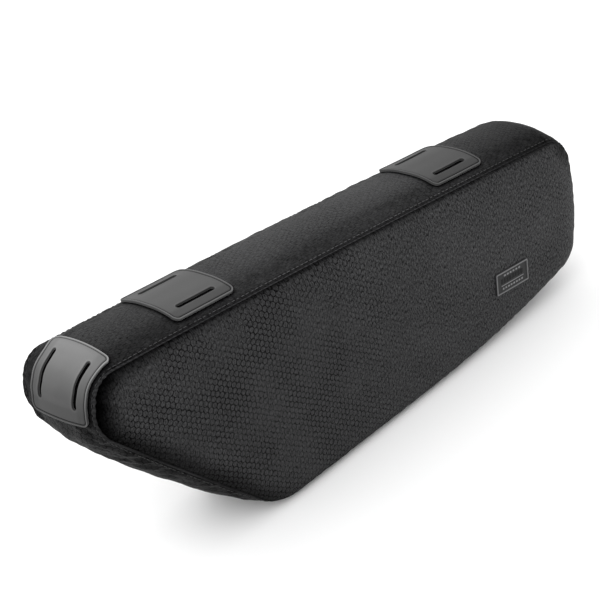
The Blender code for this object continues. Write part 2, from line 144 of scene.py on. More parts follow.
CROWNS = (
    Crown(0.00, 0.55, 0.00, 0.20, 0.05),
    Crown(0.10, 0.88, 0.00, 0.22, 0.06),
    Crown(0.20, 1.02, 0.00, 0.24, 0.06),
    Crown(0.30, 0.84, 0.12, 0.24, 0.05),
    Crown(0.40, 0.94, 0.04, 0.26, 0.05),
    Crown(0.52, 0.95, 0.00, 0.28, 0.05),
    Crown(0.64, 0.90, 0.04, 0.28, 0.05),
    Crown(0.72, 0.77, 0.16, 0.28, 0.05),
    Crown(0.80, 0.82, 0.04, 0.32, 0.07),
    Crown(0.87, 0.74, 0.00, 0.36, 0.09),
    Crown(0.95, 0.36, 0.00, 0.40, 0.12),
    Crown(1.00, 0.28, 0.00, 0.40, 0.12),
    Crown(1.50, 0.37, 0.00, 0.45, 0.15),
    Crown(1.85, 0.32, 0.00, 0.45, 0.25),
    Crown(2.00, 0.48, 0.00, 0.50, 0.38),
    Crown(2.12, 0.80, 0.00, 0.50, 0.45),
    Crown(2.30, 1.00, 0.00, 0.45, 0.45),
    Crown(2.70, 0.86, 0.10, 0.35, 0.35),
    Crown(3.00, 0.28, 0.40, 0.25, 0.15),
    Crown(3.50, 0.28, 0.70, 0.20, 0.06),
    Crown(4.00, 0.28, 0.75, 0.20, 0.06),
    Crown(4.50, 0.28, 0.75, 0.20, 0.06),
    Crown(5.00, 0.28, 0.60, 0.20, 0.06),
    Crown(5.50, 0.30, 0.40, 0.18, 0.06),
)


class Hem(NamedTuple):
    """How a seam looks at a place round the outline.

    The hem is the bound edge that stands on the seam. The rim is the panel's cloth beside it, where painted
    shade
    darkens the cloth: its rim level holds at the seam and fades to the full tone over rim_width_mm. The
    band's level is the painted shade on the band, its hem and its stitches there.
    """

    place: float
    radius_mm: float
    gather: float
    rim_tone: float
    rim_width_mm: float
    band_tone: float


# Painted shade round the outline: the rim and band columns darken the panel's rim and the band, from near
# black at the nose to light on the top.
HEMS = (
    Hem(0.00, 0.42, 0.06, 0.22, 12.0, 0.45),
    Hem(0.12, 0.36, 0.06, 0.70, 5.0, 0.40),
    Hem(0.20, 0.36, 0.06, 0.75, 4.0, 0.52),
    Hem(0.30, 0.36, 0.06, 0.75, 4.0, 0.88),
    Hem(0.60, 0.36, 0.06, 0.75, 4.0, 0.90),
    Hem(0.80, 0.42, 0.08, 0.55, 6.0, 0.68),
    Hem(0.95, 0.85, 0.22, 0.08, 10.0, 0.60),
    Hem(1.50, 1.15, 0.26, 0.02, 17.0, 0.55),
    Hem(2.00, 1.00, 0.22, 0.05, 16.0, 0.40),
    Hem(2.40, 0.80, 0.10, 0.20, 15.0, 0.36),
    Hem(2.90, 0.70, 0.08, 0.30, 14.0, 0.42),
    Hem(3.10, 0.55, 0.08, 0.50, 10.0, 0.50),
    Hem(3.60, 0.50, 0.06, 0.60, 9.0, 0.60),
    Hem(4.50, 0.50, 0.06, 0.80, 7.0, 0.60),
    Hem(5.00, 0.50, 0.06, 0.95, 5.0, 0.80),
    Hem(5.50, 0.50, 0.06, 0.95, 4.0, 0.80),
)


def unit(vectors: Array) -> Array:
    """Vectors of length one along the last axis."""
    return vectors / np.maximum(np.linalg.norm(vectors, axis=-1, keepdims=True), 1e-12)


def ease(values: Array, low: float, high: float) -> Array:
    """A smooth step from 0 at low to 1 at high: t * t * (3 - 2 * t)."""
    t = np.clip((values - low) / (high - low), 0, 1)
    return t * t * (3 - 2 * t)


def ripple(points: Array, wavelength: float, seed: int, count: int = 14) -> Array:
    """Smooth random relief of about -1 to 1.

    It is a sum of sine waves of seeded direction, phase and wavelength, over the root of half their number.

    Args:
        points: places in any number of dimensions, along the last axis.
        wavelength: the middle wavelength, in the same unit as the points.
        seed: starts the random draws, so that each run is the same.
        count: how many waves are added.

    Returns:
        One value for each point.
    """
    rng = np.random.default_rng(seed)
    directions = unit(rng.normal(size=(count, points.shape[-1])))
    rates = 2 * math.pi / (wavelength * rng.uniform(0.7, 1.5, count))
    phases = rng.uniform(0, 2 * math.pi, count)
    return np.sin(points @ (directions * rates[:, None]).T + phases).sum(axis=-1) / math.sqrt(count / 2)


def smooth(places: Array, stations: Array, values: Array, period: float) -> Array:
    """A curve round a loop that passes through its stations and never overshoots them.

    It is a cubic Hermite curve. Its slope at a station is the harmonic mean of the slopes beside it, or 0
    at a peak.

    Args:
        places: where the curve is read.
        stations: the places that have a value.
        values: the value at each station.
        period: the length of the loop.

    Returns:
        The curve's value at each place.
    """
    stations = np.concatenate([stations - period, stations, stations + period])
    values = np.tile(values, 3)
    rates = np.diff(values) / np.diff(stations)
    before, after = rates[:-1], rates[1:]
    is_steady = before * after > 0
    slopes = np.where(is_steady, 2 * before * after / np.where(is_steady, before + after, 1), 0)
    slopes = np.concatenate([[0], slopes, [0]])
    left = np.searchsorted(stations, places, side="right") - 1
    gap = stations[left + 1] - stations[left]
    t = (places - stations[left]) / gap
    start = (2 * t**3 - 3 * t**2 + 1) * values[left] + (t**3 - 2 * t**2 + t) * gap * slopes[left]
    end = (3 * t**2 - 2 * t**3) * values[left + 1] + (t**3 - t**2) * gap * slopes[left + 1]
    return start + end


def rounded(p: Array, q: Array) -> tuple[Array, Array]:
    """A square made round: x = p * sqrt(1 - q * q / 2) and y = q * sqrt(1 - p * p / 2)."""
    return p * np.sqrt(1 - q**2 / 2), q * np.sqrt(1 - p**2 / 2)


def round_corners(x: Array, y: Array, size: tuple[float, float], radius: float) -> tuple[Array, Array]:
    """Moves the points in a grid's four corners onto rounds, each as a square made round.

    Args:
        x: places along the grid, from its middle.
        y: places across it.
        size: its length and width.
        radius: the rounds' radius.

    Returns:
        The moved places along and across.
    """
    moved = []
    inner = [whole / 2 - radius for whole in size]
    p, q = (np.clip((np.abs(line) - start) / radius, 0, 1) for line, start in zip((x, y), inner))
    for line, start, share in zip((x, y), inner, rounded(p, q)):
        moved.append(np.where((p > 0) & (q > 0), np.sign(line) * (start + share * radius), line))
    return moved[0], moved[1]


def grid_normals(points: Array, is_loop: tuple[bool, bool]) -> Array:
    """Unit normals of a grid: the cross product of the differences along its rows and its columns."""
    steps = []
    for axis, loops in enumerate(is_loop):
        if loops:
            steps.append(np.roll(points, -1, axis=axis) - np.roll(points, 1, axis=axis))
        else:
            steps.append(np.gradient(points, axis=axis))
    return unit(np.cross(steps[0], steps[1]))


@dataclass
class Surface:
    """A mesh in the making: points, faces of any number of corners, corner coordinates and point values."""

    points: list[Array] = field(default_factory=list)
    faces: list[Array] = field(default_factory=list)
    coordinates: list[Array] = field(default_factory=list)
    values: dict[str, list[Array]] = field(default_factory=dict)
    count: int = 0

    def add_points(self, points: Array, **values: Array) -> int:
        """Adds points with their named values, and returns the number of the first one."""
        first = self.count
        flat = points.reshape(-1, 3)
        self.points.append(flat)
        self.count += len(flat)
        for name, value in values.items():
            self.values.setdefault(name, []).append(np.broadcast_to(value, points.shape[:-1]).reshape(-1))
        return first

    def add_faces(self, faces: Array, coordinates: Optional[Array] = None) -> None:
        """Adds faces with as many corners as the array has columns, and the coordinates of those corners."""
        self.faces.append(faces)
        if coordinates is None:
            coordinates = np.zeros((*faces.shape, 2))
        self.coordinates.append(coordinates)

    def add_grid(
        self,
        points: Array,
        is_loop: tuple[bool, bool] = (False, False),
        plane: Optional[Array] = None,
        keep: Optional[Array] = None,
        **values: Array,
    ) -> int:
        """Adds a grid of four-cornered faces.

        Args:
            points: rows by columns by 3.
            is_loop: whether the last row meets the first one, and the last column the first one.
            plane: coordinates of the grid's points, with one more row or column where it meets itself.
            keep: which of the grid's cells have a face.
            **values: named values of the points.

        Returns:
            The number of the grid's first point.
        """
        first = self.add_points(points, **values)
        rows, columns = points.shape[:2]
        row = np.arange(rows if is_loop[0] else rows - 1)[:, None]
        column = np.arange(columns if is_loop[1] else columns - 1)[None, :]
        corners = [(row, column), (row + 1, column), (row + 1, column + 1), (row, column + 1)]
        index = np.stack([(r % rows) * columns + c % columns for r, c in corners], axis=-1) + first
        if plane is None:
            lifted = np.zeros((*index.shape, 2))
        else:
            lifted = np.stack([plane[r, c] for r, c in corners], axis=-2)
        if keep is not None:
            index, lifted = index[keep], lifted[keep]
        self.add_faces(index.reshape(-1, 4), lifted.reshape(-1, 4, 2))
        return first

    def turned_outwards(self) -> list[Array]:
        """The faces, all turned round where the volume that they enclose comes out negative."""
        points = np.concatenate(self.points)
        volume = 0.0
        for faces in self.faces:
            corners = points[faces]
            for k in range(1, faces.shape[1] - 1):
                crossed = np.cross(corners[:, k], corners[:, k + 1])
                volume += float((corners[:, 0] * crossed).sum())
        if volume >= 0:
            return self.faces
        self.coordinates = [coordinates[:, ::-1] for coordinates in self.coordinates]
        return [faces[:, ::-1] for faces in self.faces]

    def make(self, name: str, finish: "Finish", crease_angle: float = 50.0) -> Piece:
        """Puts the arrays into a mesh object.

        Args:
            name: the piece's name.
            finish: the finish that its surface has.
            crease_angle: edges sharper than this many degrees stay sharp.

        Returns:
            The new object, which stands at the origin with its place in its mesh.
        """
        faces = self.turned_outwards()
        mesh = bpy.data.meshes.new(name)
        sizes = np.concatenate([np.full(len(f), f.shape[1]) for f in faces])
        loops = np.concatenate([f.reshape(-1) for f in faces])
        mesh.vertices.add(self.count)
        mesh.vertices.foreach_set("co", np.concatenate(self.points).astype(np.float32).reshape(-1))
        mesh.loops.add(len(loops))
        mesh.loops.foreach_set("vertex_index", loops.astype(np.int32))
        mesh.polygons.add(len(sizes))
        mesh.polygons.foreach_set("loop_start", np.concatenate([[0], np.cumsum(sizes)[:-1]]).astype(np.int32))
        mesh.update(calc_edges=True)
        layer = mesh.uv_layers.new(name="lay")
        flat = np.concatenate([coordinates.reshape(-1, 2) for coordinates in self.coordinates])
        layer.data.foreach_set("uv", flat.astype(np.float32).reshape(-1))
        for title, parts in self.values.items():
            attribute = mesh.attributes.new(title, "FLOAT", "POINT")
            attribute.data.foreach_set("value", np.concatenate(parts).astype(np.float32))
        mesh.validate()
        mesh.shade_smooth()
        mesh.set_sharp_from_angle(angle=math.radians(crease_angle))
        mesh.materials.append(finish.material())
        obj = bpy.data.objects.new(name, mesh)
        bpy.context.scene.collection.objects.link(obj)
        return obj


def dress(piece: Piece, slot: str, *nodes: str) -> Piece:
    """Fastens a new piece to the bag, logs its faces and hides the solids that it replaces."""
    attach(piece, "root")
    if nodes:
        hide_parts(*nodes)
    count = len(piece.data.polygons)
    LOG.info("%s: %d faces, stands for %s", piece.name, count, ", ".join(nodes) or "nothing")
    return piece


def linear(colour: str) -> tuple[float, float, float, float]:
    """An sRGB hex colour as linear red, green, blue and alpha."""
    parts = np.array([int(colour[i : i + 2], 16) for i in (1, 3, 5)]) / 255
    values = np.where(parts <= 0.04045, parts / 12.92, ((parts + 0.055) / 1.055) ** 2.4)
    return (*values.tolist(), 1.0)


def add_node(tree: Tree, kind: str, links: dict, operation: str = "", **settings: object) -> Node:
    """Adds a node.

    Args:
        tree: the material's node tree.
        kind: the node's type name without the ShaderNode that all share.
        links: what each input socket gets: a node, for its first output, or an output socket, or a value.
        operation: the node's operation, where it has one.
        **settings: the node's other properties.

    Returns:
        The new node.
    """
    node = tree.nodes.new("ShaderNode" + kind)
    if operation:
        node.operation = operation
    for name, value in settings.items():
        setattr(node, name, value)
    for key, value in links.items():
        if isinstance(value, Node):
            value = value.outputs[0]
        if isinstance(value, Socket):
            tree.links.new(value, node.inputs[key])
        else:
            node.inputs[key].default_value = value
    return node


@dataclass(frozen=True)
class Finish:
    """A surface finish, built once as a Principled material."""

    name: str
    colour: str
    roughness: float = 0.6

    def material(self) -> bpy.types.Material:
        """The finish's material, made the first time that it is asked for."""
        made = bpy.data.materials.get(self.name)
        if made is None:
            made = bpy.data.materials.new(self.name)
            made.use_nodes = True
            shader = made.node_tree.nodes["Principled BSDF"]
            shader.inputs["Base Color"].default_value = linear(self.colour)
            shader.inputs["Roughness"].default_value = self.roughness
            self.dress_shader(made.node_tree, shader)
        return made

    def dress_shader(self, tree: Tree, shader: Node) -> None:
        """Adds the finish's own nodes to its shader."""

    def colour_by(self, tree: Tree, shader: Node, level: Node, gloss: float) -> None:
        """Multiplies the colour by a level, and the reflection too where gloss, its own level, isn't 0."""
        tinted = add_node(tree, "VectorMath", {0: linear(self.colour)[:3], "Scale": level}, "SCALE")
        tree.links.new(tinted.outputs[0], shader.inputs["Base Color"])
        if gloss:
            mirrored = add_node(tree, "Math", {0: level, 1: gloss}, "MULTIPLY")
            tree.links.new(mirrored.outputs[0], shader.inputs["Specular IOR Level"])


@dataclass(frozen=True)
class HoneycombCloth(Finish):
    """Polyester cloth with an embossed film: matt cells about 3.4 mm apart, with thin dark lines between.

    The film shows most where the cloth lies slack over its foam. Where it is stretched, its yarns show as
    a fine speckle that runs in short streaks up the panel.
    """

    pitch: float = 3.4 * MM
    groove_share: float = 0.14
    groove_tone: float = 0.95
    depth: float = 0.25 * MM
    speckle: float = 1.3
    gloss: float = 0.24
    thread: float = 0.55 * MM
    streak: float = 3.0
    is_upright: bool = True
    slack_size: float = 34 * MM
    wear_size: float = 45 * MM
    wear_share: float = 0.3
    cell_share: float = 0.1
    least_level: float = 0.08
    full_stretch: float = 1.9

    def dress_shader(self, tree: Tree, shader: Node) -> None:
        """Hexagons in the tone and in the bump, with speckle, streaks and wear on top.

        The tone is the colour times the painted shade in the shade attribute, and each pattern moves it by
        its own share:
        1 + wear + one cell's own tone - the groove times its press + the yarns times (1.9 - press).
        """
        lay = add_node(tree, "UVMap", {}, uv_map="lay")
        groove, own = self.hexagons(tree, lay)
        press, shade = (
            add_node(tree, "Attribute", {}, attribute_name=name).outputs["Fac"] for name in ("press", "shade")
        )
        stretched = (1.0, 1 / self.streak, 1.0) if self.is_upright else (1 / self.streak, 1.0, 1.0)
        combed = add_node(tree, "Mapping", {"Vector": lay, "Scale": stretched})
        noises = []
        for place, size, detail, roughness in (
            (lay, self.slack_size, 2.0, 0.5),
            (lay, self.wear_size, 2.0, 0.5),
            (lay, self.thread, 1.0, 0.7),
            (combed, 1.2 * self.thread, 1.0, 0.6),
        ):
            links = {"Vector": place, "Scale": 1 / size, "Detail": detail, "Roughness": roughness}
            noises.append(add_node(tree, "TexNoise", links, noise_dimensions="2D"))
        slack, wear, speckle, streaks = noises
        limits = {"From Min": 0.35, "From Max": 0.65, "To Min": 0.55, "To Max": 1.15}
        slack = add_node(tree, "MapRange", {"Value": slack, **limits})
        pressed = add_node(tree, "Math", {0: press, 1: slack}, "MULTIPLY")
        pressed = add_node(tree, "Math", {0: pressed, 1: groove}, "MULTIPLY")
        middle = -1.25 * self.speckle
        yarns = add_node(tree, "Math", {0: speckle, 1: self.speckle, 2: middle}, "MULTIPLY_ADD")
        yarns = add_node(tree, "Math", {0: streaks, 1: 1.5 * self.speckle, 2: yarns}, "MULTIPLY_ADD")
        stretch = add_node(tree, "Math", {0: self.full_stretch, 1: press}, "SUBTRACT")
        yarns = add_node(tree, "Math", {0: yarns, 1: stretch}, "MULTIPLY")
        middle = 1 - (self.wear_share + self.cell_share) / 2
        level = add_node(tree, "Math", {0: pressed, 1: -self.groove_tone, 2: middle}, "MULTIPLY_ADD")
        level = add_node(tree, "Math", {0: wear, 1: self.wear_share, 2: level}, "MULTIPLY_ADD")
        level = add_node(tree, "Math", {0: own, 1: self.cell_share, 2: level}, "MULTIPLY_ADD")
        level = add_node(tree, "Math", {0: level, 1: yarns}, "ADD")
        level = add_node(tree, "Math", {0: level, 1: self.least_level}, "MAXIMUM")
        level = add_node(tree, "Math", {0: level, 1: shade}, "MULTIPLY")
        self.colour_by(tree, shader, level, self.gloss)
        height = add_node(tree, "Math", {0: streaks, 1: 0.5 * self.speckle}, "MULTIPLY")
        height = add_node(tree, "Math", {0: pressed, 1: -1.0, 2: height}, "MULTIPLY_ADD")
        bump = add_node(tree, "Bump", {"Height": height, "Strength": 0.8, "Distance": self.depth})
        tree.links.new(bump.outputs[0], shader.inputs["Normal"])

    def hexagons(self, tree: Tree, lay: Node) -> tuple[Node, Socket]:
        """The lines between hexagonal cells, and a random value for each cell.

        A point belongs to the nearer of two centres, one from each of two interleaved grids. Its reach in a
        cell is the larger of x and (x + sqrt(3) * y) / 2 from the centre, and a line lies where that is near
        one half.

        Args:
            tree: the material's node tree.
            lay: the node whose output is the place on the cloth, in metres.

        Returns:
            A node that is 1 in the lines and 0 in the cells, and an output with the cell's own value.
        """
        links = {"Vector": lay, "Rotation": (0, 0, math.pi / 2), "Scale": (1 / self.pitch,) * 3}
        turned = add_node(tree, "Mapping", links)
        half = (0.5, math.sqrt(3) / 2, 0)
        edges = {1: (0.5, math.sqrt(3) / 2, 0.5), 2: (-0.5, -math.sqrt(3) / 2, -0.5)}
        offsets = []
        lengths = []
        for start in ((0, 0, 0), half):
            moved = add_node(tree, "VectorMath", {0: turned, 1: start}, "SUBTRACT")
            wrapped = add_node(tree, "VectorMath", {0: moved, **edges}, "WRAP")
            offsets.append(add_node(tree, "VectorMath", {0: wrapped, 1: (1, 1, 0)}, "MULTIPLY"))
            lengths.append(add_node(tree, "VectorMath", {0: offsets[-1]}, "LENGTH").outputs["Value"])
        is_second = add_node(tree, "Math", {0: lengths[1], 1: lengths[0]}, "LESS_THAN")
        links = {0: is_second, 4: offsets[0], 5: offsets[1]}
        nearest = add_node(tree, "Mix", links, data_type="VECTOR").outputs[1]
        folded = add_node(tree, "VectorMath", {0: nearest}, "ABSOLUTE")
        slanted = add_node(tree, "VectorMath", {0: folded, 1: half}, "DOT_PRODUCT").outputs["Value"]
        upright = add_node(tree, "SeparateXYZ", {0: folded})
        reach = add_node(tree, "Math", {0: slanted, 1: upright}, "MAXIMUM")
        links = {"Value": reach, "From Min": 0.5 - self.groove_share, "From Max": 0.5}
        groove = add_node(tree, "MapRange", links, interpolation_type="SMOOTHSTEP")
        centre = add_node(tree, "VectorMath", {0: turned, 1: nearest}, "SUBTRACT")
        snapped = add_node(tree, "VectorMath", {0: centre, 1: (0.25, 0.25, 0.25)}, "SNAP")
        own = add_node(tree, "TexWhiteNoise", {"Vector": snapped}, noise_dimensions="2D")
        return groove, own.outputs["Value"]


@dataclass(frozen=True)
class MouldedRubber(Finish):
    """Thermoplastic from a mould: an even satin tone with a very fine grain from the spark-eroded tool."""

    grain: float = 0.35 * MM
    depth: float = 0.03 * MM
    drift: float = 14 * MM
    gloss: float = 0.4

    def dress_shader(self, tree: Tree, shader: Node) -> None:
        """A fine grain in the bump, and a slow drift in the tone and gloss as from handling."""
        place = add_node(tree, "TexCoord", {}).outputs["Object"]
        grain, drift = (
            add_node(tree, "TexNoise", {"Vector": place, "Scale": 1 / size, "Detail": detail})
            for size, detail in ((self.grain, 1.0), (self.drift, 3.0))
        )
        # The shade attribute carries painted shade and highlights.
        shade = add_node(tree, "Attribute", {}, attribute_name="shade").outputs["Fac"]
        drifting = {"Value": drift, "From Min": 0.3, "From Max": 0.7}
        level = add_node(tree, "MapRange", {**drifting, "To Min": 0.93, "To Max": 1.06})
        level = add_node(tree, "Math", {0: level, 1: shade}, "MULTIPLY")
        self.colour_by(tree, shader, level, self.gloss)
        limits = {"To Min": self.roughness - 0.05, "To Max": self.roughness + 0.05}
        handled = add_node(tree, "MapRange", {**drifting, **limits})
        tree.links.new(handled.outputs[0], shader.inputs["Roughness"])
        bump = add_node(tree, "Bump", {"Height": grain, "Strength": 0.5, "Distance": self.depth})
        tree.links.new(bump.outputs[0], shader.inputs["Normal"])


@dataclass(frozen=True)
class WovenTape(Finish):
    """Woven polyester tape of a zip or a bound hem: a fine herringbone that reads as short slanting lines."""

    yarn: float = 0.9 * MM
    distortion: float = 2.0
    detail: float = 1.0
    tones: tuple[float, float] = (0.7, 1.25)
    gloss: float = 0.25
    strength: float = 0.6
    depth: float = 0.12 * MM

    def dress_shader(self, tree: Tree, shader: Node) -> None:
        """Slanting waves in bump and in tone, times the painted shade in the piece's shade attribute."""
        place = add_node(tree, "TexCoord", {}).outputs["Object"]
        links = {"Vector": place, "Scale": 1 / (6 * self.yarn), "Detail": self.detail}
        links["Distortion"] = self.distortion
        ribs = add_node(tree, "TexWave", links, bands_direction="DIAGONAL").outputs["Fac"]
        tone = add_node(tree, "MapRange", {"Value": ribs, "To Min": self.tones[0], "To Max": self.tones[1]})
        shade = add_node(tree, "Attribute", {}, attribute_name="shade").outputs["Fac"]
        tone = add_node(tree, "Math", {0: tone, 1: shade}, "MULTIPLY")
        self.colour_by(tree, shader, tone, self.gloss)
        bump = add_node(tree, "Bump", {"Height": ribs, "Strength": self.strength, "Distance": self.depth})
        tree.links.new(bump.outputs[0], shader.inputs["Normal"])


@dataclass(frozen=True)
class SpunThread(WovenTape):
    """Twisted polyester sewing thread: a soft sheen with fine slanting plies."""

    yarn: float = 0.5 * MM
    distortion: float = 1.5
    detail: float = 2.0
    tones: tuple[float, float] = (0.75, 1.1)
    gloss: float = 0.0
    strength: float = 0.5
    depth: float = 0.05 * MM


@dataclass(frozen=True)
class PaintedZinc(Finish):
    """Die-cast zinc under black paint: a half gloss with a faint orange peel."""

    peel: float = 0.8 * MM
    depth: float = 0.04 * MM

    def dress_shader(self, tree: Tree, shader: Node) -> None:
        """A shallow, slow bump, under a clear top layer."""
        place = add_node(tree, "TexCoord", {}).outputs["Object"]
        peel = add_node(tree, "TexNoise", {"Vector": place, "Scale": 1 / self.peel, "Detail": 2.0})
        bump = add_node(tree, "Bump", {"Height": peel, "Strength": 0.25, "Distance": self.depth})
        tree.links.new(bump.outputs[0], shader.inputs["Normal"])
        shader.inputs["Coat Weight"].default_value = 0.4
        shader.inputs["Coat Roughness"].default_value = 0.2


PANEL_CLOTH = HoneycombCloth("panel_honeycomb_cloth", "#252526", 0.66)
BAND_CLOTH = HoneycombCloth(
    "band_honeycomb_cloth", "#272728", 0.6, groove_tone=0.9, speckle=0.7, streak=3.4, is_upright=False
)
BINDING_CLOTH = WovenTape("binding_tape_weave", "#282829", 0.7)
PAD_RUBBER = MouldedRubber("pad_rubber_satin", "#616161", 0.5)
LABEL_RUBBER = MouldedRubber("label_rubber_black", "#1f1f20", 0.45)
PULLER_RUBBER = MouldedRubber("puller_rubber_black", "#242425", 0.5)
THREAD = SpunThread("sewing_thread", "#464647", 0.6)
ZIP_CLOTH = WovenTape("zip_tape_weave", "#1a1a1b", 0.75)
COIL_NYLON = MouldedRubber("coil_nylon", "#1c1c1d", 0.4)
SLIDER_PAINT = PaintedZinc("slider_black_paint", "#1a1a1b", 0.4)
FLOOR_PAPER = Finish("floor_paper", "#fafafa", 0.9)


@dataclass
class SeamLine:
    """The outline that both side panels and the band share.

    A place on it counts corners: whole numbers are corners and halves are the middles of sides. The outline
    stands where the frame's label and panels are.
    """

    length: float = 375.7 * MM
    height: float = 134.9 * MM
    label_place: tuple[float, float] = (0.806, 0.262)
    spine_front: tuple[float, float] = (0.150, 0.660)
    spine_rear: tuple[float, float] = (0.860, 0.400)
    corner_steps: int = 28
    side_step: float = 1.5 * MM

    def __post_init__(self) -> None:
        """Traces the outline in the part's frame."""
        self.count = len(OUTLINE)
        label_low, label_high = (np.array(corner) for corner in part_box("label_patch"))
        near_low, _ = (np.array(corner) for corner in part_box("near_side_panel"))
        _, far_high = (np.array(corner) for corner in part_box("far_side_panel"))
        middle = (label_low + label_high) / 2
        self.zero = middle[[0, 2]] - np.array(self.label_place) * (self.length, self.height)
        self.middle_y = (near_low[1] + far_high[1]) / 2
        self.corners = self.zero + np.array(
            [(c.x_of_length * self.length, c.z_of_height * self.height) for c in OUTLINE]
        )
        sides = np.roll(self.corners, -1, axis=0) - self.corners
        self.lengths = np.linalg.norm(sides, axis=1)
        self.along = sides / self.lengths[:, None]
        self.outward = np.stack([self.along[:, 1], -self.along[:, 0]], axis=1)
        self.places, self.points = self._trace()
        across = unit(np.roll(self.points, -1, axis=0) - np.roll(self.points, 1, axis=0))
        self.normals = np.stack([across[:, 1], -across[:, 0]], axis=1)
        steps = np.linalg.norm(np.roll(self.points, -1, axis=0) - self.points, axis=1)
        self.runs = np.concatenate([[0], np.cumsum(steps)])
        self.hems = self.table(
            HEMS,
            [(h.radius_mm * MM, h.gather, h.rim_tone, h.rim_width_mm * MM, h.band_tone) for h in HEMS],
        )

    def table(self, stations: Sequence[NamedTuple], rows: Sequence[tuple[float, ...]]) -> Array:
        """Columns of a table, read smoothly at the outline's own points."""
        places = np.array([station.place for station in stations])
        columns = [smooth(self.places, places, column, self.count) for column in np.array(rows).T]
        return np.stack(columns, axis=1)

    def _side(self, index: int, share: Array) -> tuple[Array, Array]:
        """Points and unit tangents of a side whose bow is a parabola: 4 * bow * share * (1 - share)."""
        share = np.asarray(share, float)[..., None]
        length, along, outward = self.lengths[index], self.along[index], self.outward[index]
        bow = OUTLINE[index].bow_of_side * length
        point = self.corners[index] + share * length * along + 4 * bow * share * (1 - share) * outward
        return point, unit(length * along + 4 * bow * (1 - 2 * share) * outward)

    def _trim(self, corner: int, side: int) -> float:
        """Share of a side that a corner's rounding takes."""
        return min(OUTLINE[corner].rounding_of_height * self.height / self.lengths[side], 0.49)

    def _fillet(self, corner: int) -> Array:
        """Points of a corner's rounding: a cubic that leaves and meets the two sides on their tangents."""
        start, leaving = self._side(corner - 1, 1 - self._trim(corner, corner - 1))
        end, meeting = self._side(corner, self._trim(corner, corner))
        reach = np.linalg.solve(np.stack([leaving, meeting], axis=1), end - start)
        first = start + 0.58 * reach[0] * leaving
        second = end - 0.58 * reach[1] * meeting
        s = np.linspace(0, 1, self.corner_steps + 1)[:, None]
        return (1 - s) ** 3 * start + 3 * (1 - s) ** 2 * s * first + 3 * (1 - s) * s**2 * second + s**3 * end

    def _trace(self) -> tuple[Array, Array]:
        """Places and points round the whole outline, close enough together to look smooth."""
        places: list[Array] = []
        points: list[Array] = []
        for index in range(self.count):
            places.append(np.linspace(index - 0.12, index + 0.12, self.corner_steps + 1))
            points.append(self._fillet(index))
            first = self._trim(index, index)
            last = 1 - self._trim((index + 1) % self.count, index)
            shares = np.linspace(0, 1, max(int(self.lengths[index] / self.side_step), 4))[1:-1]
            places.append(index + 0.12 + 0.76 * shares)
            points.append(self._side(index, first + (last - first) * shares)[0])
        return np.concatenate(places), np.concatenate(points)

    def at(self, places: Array, values: Array) -> Array:
        """Values given at the outline's own points, read between them in straight lines."""
        known = np.concatenate([self.places - self.count, self.places, self.places + self.count])
        return np.stack([np.interp(places, known, np.tile(column, 3)) for column in values.T], axis=-1)

    def columns(self, places: Array, values: Array) -> Array:
        """The same values, as one array for each column."""
        return np.moveaxis(self.at(places, values), -1, 0)

    def stations(self, count: int) -> tuple[Array, Array]:
        """Places at equal distances round the outline, and those distances, with the whole round added."""
        run = np.linspace(0, self.runs[-1], count + 1)
        places = np.interp(run, self.runs, np.append(self.places, self.places[0] + self.count))
        return places[:-1], run

    def leaning(self, places: Array) -> Array:
        """How far each point moves for each metre that the outline is inset.

        Half is the way that keeps the sides parallel, and half is the way to the nearest point of the spine.
        """
        turned = self.outward + np.roll(self.outward, 1, axis=0)
        facing = 1 + (self.outward * np.roll(self.outward, 1, axis=0)).sum(axis=1)
        slides = turned / facing[:, None]
        around = np.arange(-1, self.count + 1)
        parallel = np.stack(
            [np.interp(places, around, slides[around % self.count, axis]) for axis in (0, 1)], axis=1
        )
        points = self.at(places, self.points)
        return (unit(self.nearest(points, self.spine()) - points) - parallel) / 2

    def spine(self) -> Array:
        """The two ends of the line that the panels' rims lean towards."""
        size = (self.length, self.height)
        return self.zero + np.array([self.spine_front, self.spine_rear]) * size

    def nearest(self, points: Array, line: Array) -> Array:
        """The nearest points of a straight line between two ends."""
        run = line[1] - line[0]
        share = np.clip((points - line[0]) @ run / (run @ run), 0, 1)
        return line[0] + share[..., None] * run


